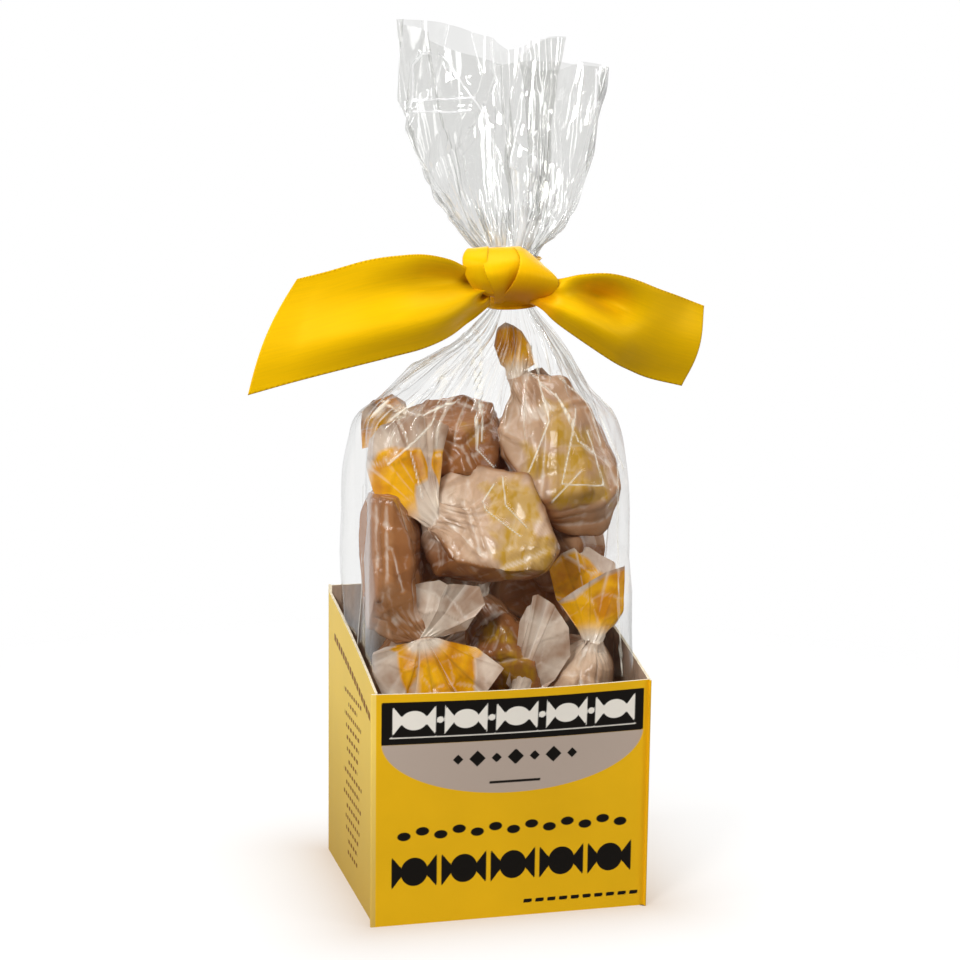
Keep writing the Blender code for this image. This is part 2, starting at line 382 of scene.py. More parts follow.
def carton_loop(inset, counts):
    """The wall's outline, inset from its outer face, from the front left corner round by the right, with folds."""
    half_x, half_y = CARTON_WIDTH / 2 - inset, CARTON_DEPTH / 2 - inset
    radius = max(0.5 - inset, 0.06)
    corners = [(-1, -1), (1, -1), (1, 1), (-1, 1)]
    points = []
    for (ax, ay), (bx, by), count in zip(corners, corners[1:] + corners[:1], counts):
        start, stop = np.array([ax * half_x, ay * half_y]), np.array([bx * half_x, by * half_y])
        way = unit(stop - start)
        straight = start + way * radius + np.outer(np.linspace(0, 1, count), stop - start - 2 * way * radius)
        middle = stop - radius * way - radius * np.array([way[1], -way[0]]) * -1
        start_angle = np.arctan2(-way[0], way[1])
        bend = start_angle + np.linspace(0, np.pi / 2, 6)[1:-1]
        points += [straight, middle + radius * np.stack([np.cos(bend), np.sin(bend)], -1)]
    return np.concatenate(points)


def bow(points, bulge):
    """How far the front wall is pushed out: nothing in the lowest quarter, most at the middle of its rim."""
    share = np.clip((points[..., 2] / FRONT_HEIGHT - 0.25) / 0.75, 0, 1) ** 1.5
    front = points[..., 1] < -CARTON_DEPTH / 2 + 0.61
    return np.where(front, bulge * share * np.cos(np.pi * points[..., 0] / CARTON_WIDTH), 0)


def ellipse_field(x, z, cx, cz, rx, rz):
    """Distance inside an ellipse, in mm, near its edge."""
    return (1 - np.hypot((x - cx) / rx, (z - cz) / rz)) * min(rx, rz)


def box_field(x, z, cx, cz, hx, hz):
    """Distance inside a rectangle, in mm."""
    return np.minimum(hx - np.abs(x - cx), hz - np.abs(z - cz))


def sweet_field(x, z, cx, cz, length, height):
    """Distance inside a wrapped sweet's outline: an oval with a fan at each end."""
    oval = ellipse_field(x, z, cx, cz, 0.3 * length, 0.5 * height)
    out = np.abs(x - cx) - 0.27 * length
    fan = np.minimum(0.12 * height + 1.3 * out - np.abs(z - cz), 0.23 * length - out) * 0.7
    return np.maximum(oval, np.minimum(fan, out + 0.2))


def front_print(x, z):
    """The front wall's fields: black band, grey panel, cream motifs and black motifs."""
    band = box_field(x, z, -0.15, 46.6, 30.3, 4.85)
    rule = box_field(x, z, -0.15, 43.35, 28.6, 0.16)
    grey = np.minimum(ellipse_field(x, z, -0.1, 42.3, 30.3, 13.0), 41.75 - z)
    cream = rule
    for place in range(-2, 3):
        cream = np.maximum(cream, sweet_field(x, z, 11.6 * place, 47.2, 9.6, 4.4))
        if place < 2:
            cream = np.maximum(cream, ellipse_field(x, z, 11.6 * place + 5.8, 47.2, 0.75, 0.75))
    ink = box_field(x, z, 0, 31.9, 6.0, 0.3)
    for place in range(-3, 4):
        size = 1.9 if place % 2 == 0 else 1.2
        lozenge = size - np.abs(x - 4.4 * place) - np.abs(z - 37.7)
        ink = np.maximum(ink, 0.7 * lozenge)
    for place in range(-6, 7):
        leaf = ellipse_field(x, z, 4.2 * place, 21.0 + 0.5 * zigzag(place / 2), 1.55, 1.0)
        ink = np.maximum(ink, leaf)
    for place in range(-2, 3):
        ink = np.maximum(ink, sweet_field(x, z, 11.4 * place, 12.2, 10.4, 6.6))
    for place in range(10):
        ink = np.maximum(ink, box_field(x, z, 3.6 + 2.8 * place, 3.3, 1.0, 0.45))
    return band, grey, cream, ink


def side_print(y, z):
    """The left wall's field of short brown dashes: a row under the sloping rim and centred rows below it."""
    rng = np.random.default_rng(4)
    under = rim_height(y) - z
    field = np.minimum(box_field(y, under, -1, 8.2, 21.0, 0.9), 0.45 + 0.75 * zigzag(y / 2.6 + 0.2))
    for row in range(15):
        height = 46.0 - 2.75 * row
        half = rng.uniform(4.5, 10.5)
        dashes = 0.3 + 0.8 * zigzag(y / rng.uniform(1.9, 2.9) + rng.random())
        field = np.maximum(field, np.minimum(box_field(y, z, -2.0, height, half, 0.5), dashes))
    return field


def printed_card(settings):
    """Clay-coated carton board, litho printed and varnished: a clean ground, crisp ink edges and a soft gloss."""
    made, tree = new_material("printed varnished carton board")
    place = add_node(tree, "ShaderNodeTexCoord").outputs["Object"]
    # Ink density drifts over a few centimetres, and the board's fibres show as 0.4 mm relief under the varnish.
    drift = add_node(tree, "ShaderNodeTexNoise", {"Vector": place, "Scale": 45.0, "Detail": 3.0}).outputs[0]
    fibre = add_node(tree, "ShaderNodeTexNoise", {"Vector": place, "Scale": 2400.0, "Detail": 2.0}).outputs[0]
    deep = tuple(c * 0.86 for c in settings.yellow[:3]) + (1.0,)
    ground = blend(tree, maths(tree, "MULTIPLY_ADD", drift, 1.6, -0.3, clamp=True), settings.yellow[:], deep)
    # On the side walls the ground is blended up to 40 per cent towards a pale tint, darker low on the wall and lighter
    # high: painted sheen, with painted shade near the floor and painted light towards the rim
    wall = add_node(tree, "ShaderNodeSeparateXYZ", {"Vector": place}).outputs
    beside = maths(tree, "SUBTRACT", maths(tree, "ABSOLUTE", wall[0]), (CARTON_WIDTH / 2 - 0.2) * MM)
    thin = maths(tree, "MULTIPLY", beside, 0.4 / (0.1 * MM), clamp=True)
    thin = maths(tree, "MINIMUM", thin, 0.4)
    rise = maths(tree, "MULTIPLY", wall[2], 1 / (42 * MM), clamp=True)
    ground = blend(tree, thin, ground, blend(tree, rise, linear("#A09A78"), linear("#FFF29A")))
    colour = blend(tree, inside(tree, "grey_panel"), ground, settings.grey[:])
    colour = blend(tree, inside(tree, "black_band"), colour, settings.ink[:])
    colour = blend(tree, inside(tree, "cream_print"), colour, settings.cream[:])
    colour = blend(tree, inside(tree, "black_print"), colour, settings.ink[:])
    colour = blend(tree, inside(tree, "brown_print"), colour, linear("#8A5A1C"))
    bump = add_node(tree, "ShaderNodeBump", {"Height": fibre, "Strength": 0.12, "Distance": 0.0002})
    shader = add_node(
        tree,
        "ShaderNodeBsdfPrincipled",
        {"Base Color": colour, "Roughness": 0.5, "Normal": bump.outputs[0], "Specular IOR Level": 0.15},
    )
    add_node(tree, "ShaderNodeOutputMaterial", {"Surface": shader.outputs[0]})
    return made


def bare_board(name, colour):
    """Uncoated board: matt, with grey and brown fibres a millimetre or so long."""
    made, tree = new_material(name)
    place = add_node(tree, "ShaderNodeTexCoord").outputs["Object"]
    stretched = add_node(tree, "ShaderNodeMapping", {"Vector": place, "Scale": (1.0, 1.0, 0.35)}).outputs[0]
    fibre = add_node(tree, "ShaderNodeTexNoise", {"Vector": stretched, "Scale": 1500.0, "Detail": 4.0}).outputs[0]
    dark = tuple(c * 0.72 for c in colour[:3]) + (1.0,)
    mixed = blend(tree, maths(tree, "MULTIPLY_ADD", fibre, 2.0, -0.5, clamp=True), dark, colour[:])
    shader = add_node(tree, "ShaderNodeBsdfPrincipled", {"Base Color": mixed, "Roughness": 0.9})
    add_node(tree, "ShaderNodeOutputMaterial", {"Surface": shader.outputs[0]})
    return made


class CARAMELS_OT_carton(bpy.types.Operator):
    """Builds the printed carton with its sloped sides"""

    bl_idname = "caramels.carton"
    bl_label = "Carton"

    def execute(self, context):
        settings = context.scene.caramels_carton
        card, bulge = settings.card / MM, settings.bulge / MM
        counts = (160, 60, 60, 134)
        outer, inner = carton_loop(0, counts), carton_loop(card, counts)
        top = rim_height(outer[:, 1])
        share = np.linspace(0, 1, 134)[:, None]

        def wall(loop, floor, shares):
            points = np.stack(
                [
                    np.broadcast_to(loop[:, 0], (len(shares), len(loop))),
                    np.broadcast_to(loop[:, 1], (len(shares), len(loop))),
                    floor + shares * (top - floor),
                ],
                -1,
            )
            points[..., 1] -= bow(points, bulge)
            return points

        outside = wall(outer, 0.0, share)
        inside_wall = wall(inner, card, np.linspace(1, 0, 12)[:, None])
        x, y, z = np.moveaxis(outside, -1, 0)
        front = y < -CARTON_DEPTH / 2 + 0.05
        left = x < -CARTON_WIDTH / 2 + 0.05
        fields = [np.where(front, field, -1.0) for field in front_print(x, z)]
        brown = np.where(left, side_print(y, z), -1.0)
        edge = np.stack([outside[-1], inside_wall[0]])
        base = np.stack([np.broadcast_to((0.0, 0.0, 0.0), outside[0].shape), outside[0]])
        floor = np.stack([inside_wall[-1], np.broadcast_to((0.0, 0.0, card), inside_wall[0].shape)])
        blank = {name: -1.0 for name in ("black_band", "grey_panel", "cream_print", "black_print", "brown_print")}
        patches = [
            patch(
                outside,
                closed=True,
                black_band=fields[0],
                grey_panel=fields[1],
                cream_print=fields[2],
                black_print=fields[3],
                brown_print=brown,
            ),
            patch(edge, closed=True, finish=1, **blank),
            patch(inside_wall, closed=True, finish=2, **blank),
            patch(base, closed=True, finish=2, **blank),
            patch(floor, closed=True, finish=2, **blank),
        ]
        finishes = [
            printed_card(settings),
            bare_board("cut board edge", linear("#E9DCC0")),
            bare_board("bare kraft board", settings.board[:]),
        ]
        piece = add_piece("carton_shell", patches, finishes, smooth=35)
        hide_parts("carton")
        return {"FINISHED"}


# ---------------------------------------------------------------- clear bag

# The bag's levels: height, centre x and y, half width, half depth, squareness
BODY_LEVELS = [
    (0.95, 0.0, 0.0, 29.6, 24.6, 9.0),
    (2.2, 0.0, 0.0, 30.4, 25.4, 9.0),
    (26.0, 0.0, 0.0, 30.7, 25.7, 9.0),
    (50.0, 0.0, 0.0, 30.7, 25.7, 9.0),
    (62.0, -0.2, 0.0, 30.5, 24.6, 8.0),
    (78.0, -0.4, 0.0, 30.6, 23.4, 7.0),
    (93.0, -0.5, -0.2, 30.6, 22.6, 6.0),
    (103.0, -0.8, -0.8, 30.0, 21.4, 5.0),
    (111.0, -1.2, -1.8, 28.2, 19.4, 4.2),
    (118.0, 0.3, -3.2, 21.8, 16.0, 3.0),
    (124.0, 2.2, -4.6, 15.8, 12.4, 2.6),
    (129.5, 3.6, -5.6, 10.0, 8.8, 2.3),
    (134.6, 3.8, -6.0, 5.6, 5.3, 2.0),
    (137.0, 3.8, -6.0, 4.7, 4.7, 2.0),
    (146.0, 3.8, -6.0, 4.7, 4.7, 2.0),
]


def bag_level(z):
    """The bag's outline at heights z: centre x and y, half width, half depth and squareness, in the last axis."""
    levels = curve_through(BODY_LEVELS, np.linspace(0, 1, 600))
    return np.stack([np.interp(z, levels[:, 0], levels[:, k]) for k in range(1, 6)], -1)


def press_inside(points, share):
    """Brings what lies beyond that share of the way out to the film back to it: the film presses it flat."""
    x, y, wide, deep, square = np.moveaxis(bag_level(points[..., 2]), -1, 0)
    across, back = points[..., 0] - x, points[..., 1] - y
    reach = (np.abs(across / wide) ** square + np.abs(back / deep) ** square) ** (1 / square)
    scale = np.minimum(1, share / np.maximum(reach, 1e-6))
    return np.stack([x + across * scale, y + back * scale, points[..., 2]], -1)


# Folds pressed into the bag's front, each also drawn on the film as a painted highlight, seen square on: corners (x, z)
# of each broken line
FRONT_FOLDS = [
    [(-7.5, 134.0), (-7.5, 121.6), (-8.3, 106.2), (-4.6, 102.3)],
    [(-4.5, 98.5), (-6.9, 94.8), (-6.3, 92.8), (1.7, 86.6)],
    [(-4.6, 134.0), (-6.6, 121.0), (-7.3, 108.0)],
    [(14.7, 114.1), (11.1, 98.0), (21.1, 97.2), (17.3, 109.1)],
    [(11.6, 121.2), (17.7, 115.8), (20.4, 106.5)],
    [(3.1, 88.6), (-1.8, 93.7), (-2.6, 100.0)],
    [(15.4, 100.6), (9.0, 94.3)],
    [(-26.0, 118.0), (-22.4, 104.0), (-20.6, 96.0)],
    [(5.4, 128.0), (8.4, 112.0), (3.5, 101.0)],
    [(-14.0, 121.0), (-18.0, 112.0), (-27.5, 103.0)],
    [(24.6, 101.0), (24.8, 70.0), (25.4, 54.1)],
    [(-31.3, 108.7), (-30.3, 114.5)],
    [(-31.3, 109.0), (-24.7, 115.5)],
    [(-26.6, 112.2), (-19.5, 116.8)],
    [(-20.2, 113.5), (-12.0, 116.6)],
    [(-31.3, 97.6), (-34.1, 91.5)],
    [(10.3, 117.6), (14.9, 107.4), (18.5, 104.6)],
    [(4.2, 122.9), (11.3, 116.0), (14.1, 110.8)],
    [(20.9, 111.8), (26.1, 100.3)],
]


def body_film(crumple):
    """The bag below its tie: rings through the levels by the superellipse formula, gathered towards the neck."""
    z = np.concatenate([np.linspace(1.0, 46.0, 12), np.arange(49.0, NECK_TOP + 0.3, 0.42)])[:, None]
    angle = np.linspace(0, TURN, 384, endpoint=False)[None, :]
    x0, y0, wide, deep, square = np.moveaxis(bag_level(z), -1, 0)
    across, back = np.abs(np.cos(angle)) / wide, np.abs(np.sin(angle)) / deep
    radius = (across**square + back**square) ** (-1 / square)
    gather = ease((z - 100) / 36)
    turn = angle / TURN
    rng = np.random.default_rng(31)
    folded = pleats(turn, (z - 96) / 44, rng, 110, (0.003, 0.014), (-0.1, 0.6), (1.2, 1.3))
    radius = radius * (1 + 0.12 * gather * np.clip(folded, -1.6, 1.6))
    points = np.stack(
        [x0 + radius * np.cos(angle), y0 + radius * np.sin(angle), np.broadcast_to(z, radius.shape)], -1
    )
    # Each side wall is a gusset, folded in along its middle
    side = ease((np.abs(points[..., 0] - x0) / wide - 0.8) / 0.15)
    tuck = 1.8 * np.clip(1 - np.abs(points[..., 1] + 3) / 12, 0, 1) * side * ease((z - 56) / 20)
    points[..., 0] -= np.sign(np.cos(angle)) * tuck * (1 - gather)
    out = normals(points, True)
    free = ease((z - 50) / 10) * (1 - 0.9 * ease((z - 126) / 10))
    stretched = points * (1.0, 1.0, 0.5)
    relief = facets(stretched, 110, 1.3 * crumple, 11) + facets(points * (1, 1, 0.35), 700, 0.35 * crumple, 12)
    fold = np.where(points[..., 1] < y0, line_distance(points[..., 0], points[..., 2], FRONT_FOLDS), 99.0)
    gusset = np.abs(points[..., 1] + 3) + 99 * (np.abs(points[..., 2] - 74) > 22) + 99 * (side < 0.5)
    fold = np.minimum(fold, gusset)
    relief = relief * free + 0.45 * np.exp(-((fold / 0.7) ** 2)) * free
    return points + out * relief[..., None], fold


# The mouth's edge from its right side, round by the back: x, y, z; a corner given twice is sharp
MOUTH = [
    (25.9, -1.0, 189.7),
    (25.9, -1.0, 189.7),
    (20.0, 5.0, 190.0),
    (12.0, 8.5, 191.0),
    (5.0, 6.0, 190.0),
    (-4.0, 9.5, 192.5),
    (-12.0, 7.0, 195.0),
    (-18.0, 1.0, 197.0),
    (-22.4, -7.0, 198.8),
    (-22.4, -7.0, 198.8),
    (-17.5, -11.0, 198.5),
    (-12.1, -12.5, 197.9),
    (-4.5, -13.0, 195.5),
    (1.3, -9.0, 192.8),
    (5.0, -12.5, 194.5),
    (11.5, -10.5, 195.4),
    (11.5, -10.5, 195.4),
    (9.5, -4.0, 190.6),
    (12.5, -2.5, 189.2),
    (18.5, -6.0, 190.6),
    (23.0, -5.5, 190.2),
    (25.9, -1.0, 189.7),
]

# Folds on the flare, each also drawn on the film as a painted highlight: corners (x, z), seen square on
FLARE_FOLDS = [
    [(-20.0, 181.5), (-12.0, 181.9), (-7.2, 182.3)],
    [(-19.6, 179.2), (-12.0, 179.0), (-8.0, 179.6)],
    [(-20.4, 180.0), (-20.0, 189.0), (-18.2, 191.4), (-16.8, 191.6)],
    [(-15.2, 191.6), (-13.0, 190.4), (-9.6, 184.6), (-6.0, 180.0), (-1.0, 168.0)],
    [(24.6, 189.0), (21.6, 171.0), (17.6, 157.0)],
    [(23.2, 189.0), (19.9, 170.0), (15.6, 155.0)],
]


def flare_film(crumple):
    """The bag above its tie: rings that widen from the gathered neck to the mouth's folded edge."""
    columns = 420
    loop = curve_through(MOUTH, np.linspace(0, 1, 4000))
    travelled = np.concatenate([[0], np.cumsum(np.linalg.norm(np.diff(loop, axis=0), axis=1))])
    turn = np.linspace(0, 1, columns, endpoint=False)
    mouth = np.stack([np.interp(turn * travelled[-1], travelled, loop[:, k]) for k in range(3)], -1)
    rise = np.linspace(0, 1, 150)[:, None]
    angle = TURN * turn
    left = ease(0.5 - 0.5 * np.cos(angle))
    # To the right the rings open at once and then run straight to the mouth; to the left they open by a curve
    opened = (0.55 + 0.45 * rise) * (1 - np.exp(-((rise / 0.17) ** 2)))
    widen = (1 - left) * opened + left * (1 - (1 - rise) ** 2.8)
    rng = np.random.default_rng(41)
    star = NECK_RADIUS * (1 + 0.17 * (0.5 * zigzag(23 * turn) + 0.5 * zigzag(61 * turn + 0.4 * np.sin(3 * angle))))
    height = NECK_TOP + rise * (mouth[:, 2] - NECK_TOP)
    x = NECK[0] + (1 - widen) * star * np.cos(angle) + widen * (mouth[:, 0] - NECK[0])
    y = NECK[1] + (1 - widen) * star * np.sin(angle) + widen * (mouth[:, 1] - NECK[1])
    points = np.stack([x, y, height], -1)
    out = normals(points, True)
    # Pleats die out up the smooth panels, and run to the mouth by the front's middle
    calm = (1 - np.exp(-(((turn - 0.79) / 0.07) ** 2))) * ease((rise - 0.12) / 0.3)
    long = pleats(turn, rise, rng, 30, (0.006, 0.03), (-0.1, 0.2), (0.5, 1.4))
    short = pleats(turn, rise, rng, 60, (0.003, 0.008), (-0.1, 0.3), (0.2, 0.7))
    relief = (1.2 * long + 0.5 * short) * (1 - 0.9 * calm) * ease(rise / 0.1) * (0.4 + 0.6 * (1 - rise))
    fan_out = np.stack([points[..., 0], points[..., 1], 0.4 * points[..., 2]], -1)
    relief = relief + ease(rise / 0.6) * facets(fan_out, 34, 6.0 * crumple, 21)
    relief = relief + ease(rise / 0.2) * (1 - 0.6 * calm) * facets(fan_out, 300, 0.9 * crumple, 22)
    front = points[..., 1] < NECK[1] + 3
    fold = np.where(front, line_distance(points[..., 0], points[..., 2], FLARE_FOLDS), 99.0)
    relief = relief + 0.4 * np.exp(-((fold / 0.8) ** 2))
    return points + out * relief[..., None], fold


def clear_film(tint, folded, mirrored):
    """Cellophane, cast and glossy: clear face on, greyer edge on, with mirror streaks and painted highlights along its
    folds and sharp ridges.
    """
    made, tree = new_material("clear cellophane film")
    facing = add_node(tree, "ShaderNodeLayerWeight", {"Blend": 0.5}).outputs["Facing"]
    # Both faces of the thin sheet mirror light, so the share at right angles is about twice one face's 4 per cent
    mirror = maths(tree, "MULTIPLY_ADD", maths(tree, "POWER", facing, 4.0), 0.8, mirrored, clamp=True)
    through = blend(tree, maths(tree, "POWER", facing, 3.0), tint, tuple(0.77 * share for share in tint[:3]) + (1.0,))
    clear = add_node(tree, "ShaderNodeBsdfTransparent", {"Color": through})
    gloss = add_node(tree, "ShaderNodeBsdfGlossy", {"Color": (1.0, 1.0, 1.0, 1.0), "Roughness": 0.1})
    film = add_node(tree, "ShaderNodeMixShader", {0: mirror, 1: clear.outputs[0], 2: gloss.outputs[0]})
    # A diffuse white mixed in along the fold lines and on sharp ridges is a painted highlight: the glints of the folds
    white = add_node(tree, "ShaderNodeBsdfDiffuse", {"Color": folded})
    crease = maths(tree, "MULTIPLY_ADD", attribute(tree, "fold_distance"), -3.2, 1.0, clamp=True)
    share = maths(tree, "MULTIPLY", crease, 0.75)
    ridge_glint = maths(tree, "MULTIPLY_ADD", attribute(tree, "crease"), 0.4, -0.35, clamp=True)
    share = maths(tree, "MAXIMUM", share, ridge_glint)
    mixed = add_node(tree, "ShaderNodeMixShader", {0: share, 1: film.outputs[0], 2: white.outputs[0]})
    add_node(tree, "ShaderNodeOutputMaterial", {"Surface": mixed.outputs[0]})
    return made


class CARAMELS_OT_bag(bpy.types.Operator):
    """Builds the clear bag, its filled body and the open flare above the tie"""

    bl_idname = "caramels.bag"
    bl_label = "Clear bag"

    def execute(self, context):
        settings = context.scene.caramels_film
        crumple = settings.crumple / MM
        points, fold = body_film(crumple)
        base = np.stack([np.broadcast_to((0.0, 0.0, 1.0), points[0].shape), points[0]])
        patches = [
            patch(base, closed=True, fold_distance=9.0, crease=0.0),
            patch(points, closed=True, fold_distance=fold, crease=creases(points)),
        ]
        body = add_piece("bag_film_body", patches, [clear_film(settings.tint[:], settings.fold_highlight_tint[:], 0.02)])
        points, fold = flare_film(crumple)
        patches = [patch(points, closed=True, fold_distance=fold, crease=creases(points))]
        flare = add_piece("bag_film_flare", patches, [clear_film(settings.flare_tint[:], (1.0, 1.0, 1.0, 1.0), 0.12)])
        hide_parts("bag")
        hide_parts("bag")
        return {"FINISHED"}


# ---------------------------------------------------------------- wrapped caramels


def sweet(name, middle, tip, back_tip, faces=(), front=(), back=(), flap=((), ()), folds=(), print_boxes=(), gather=1.0):
    """A wrapped caramel: the middle of its body, the twists at its two ends, and how its paper lies.

    Each flat face of the body has the way it looks, how far it is from the middle, and how far the paper clings
    to the caramel there, from 0 to 1. The spread end past the first twist has corners in front and behind: a
    place, and between what shares of the way out its yellow print lies. A flap is a second, loose part of the
    sheet by the first twist. Each fold has its height, its half width and its corners (x, z). Each block of
    print has its middle (x, z) and its half sizes. Gather is the first twist's size, against the others'."""
    made = dict(name=name, faces=faces, front=front, back=back, flap=flap, folds=folds, print_boxes=print_boxes)
    return dict(made, gather=gather, middle=np.array(middle), tip=np.array(tip), back_tip=np.array(back_tip))


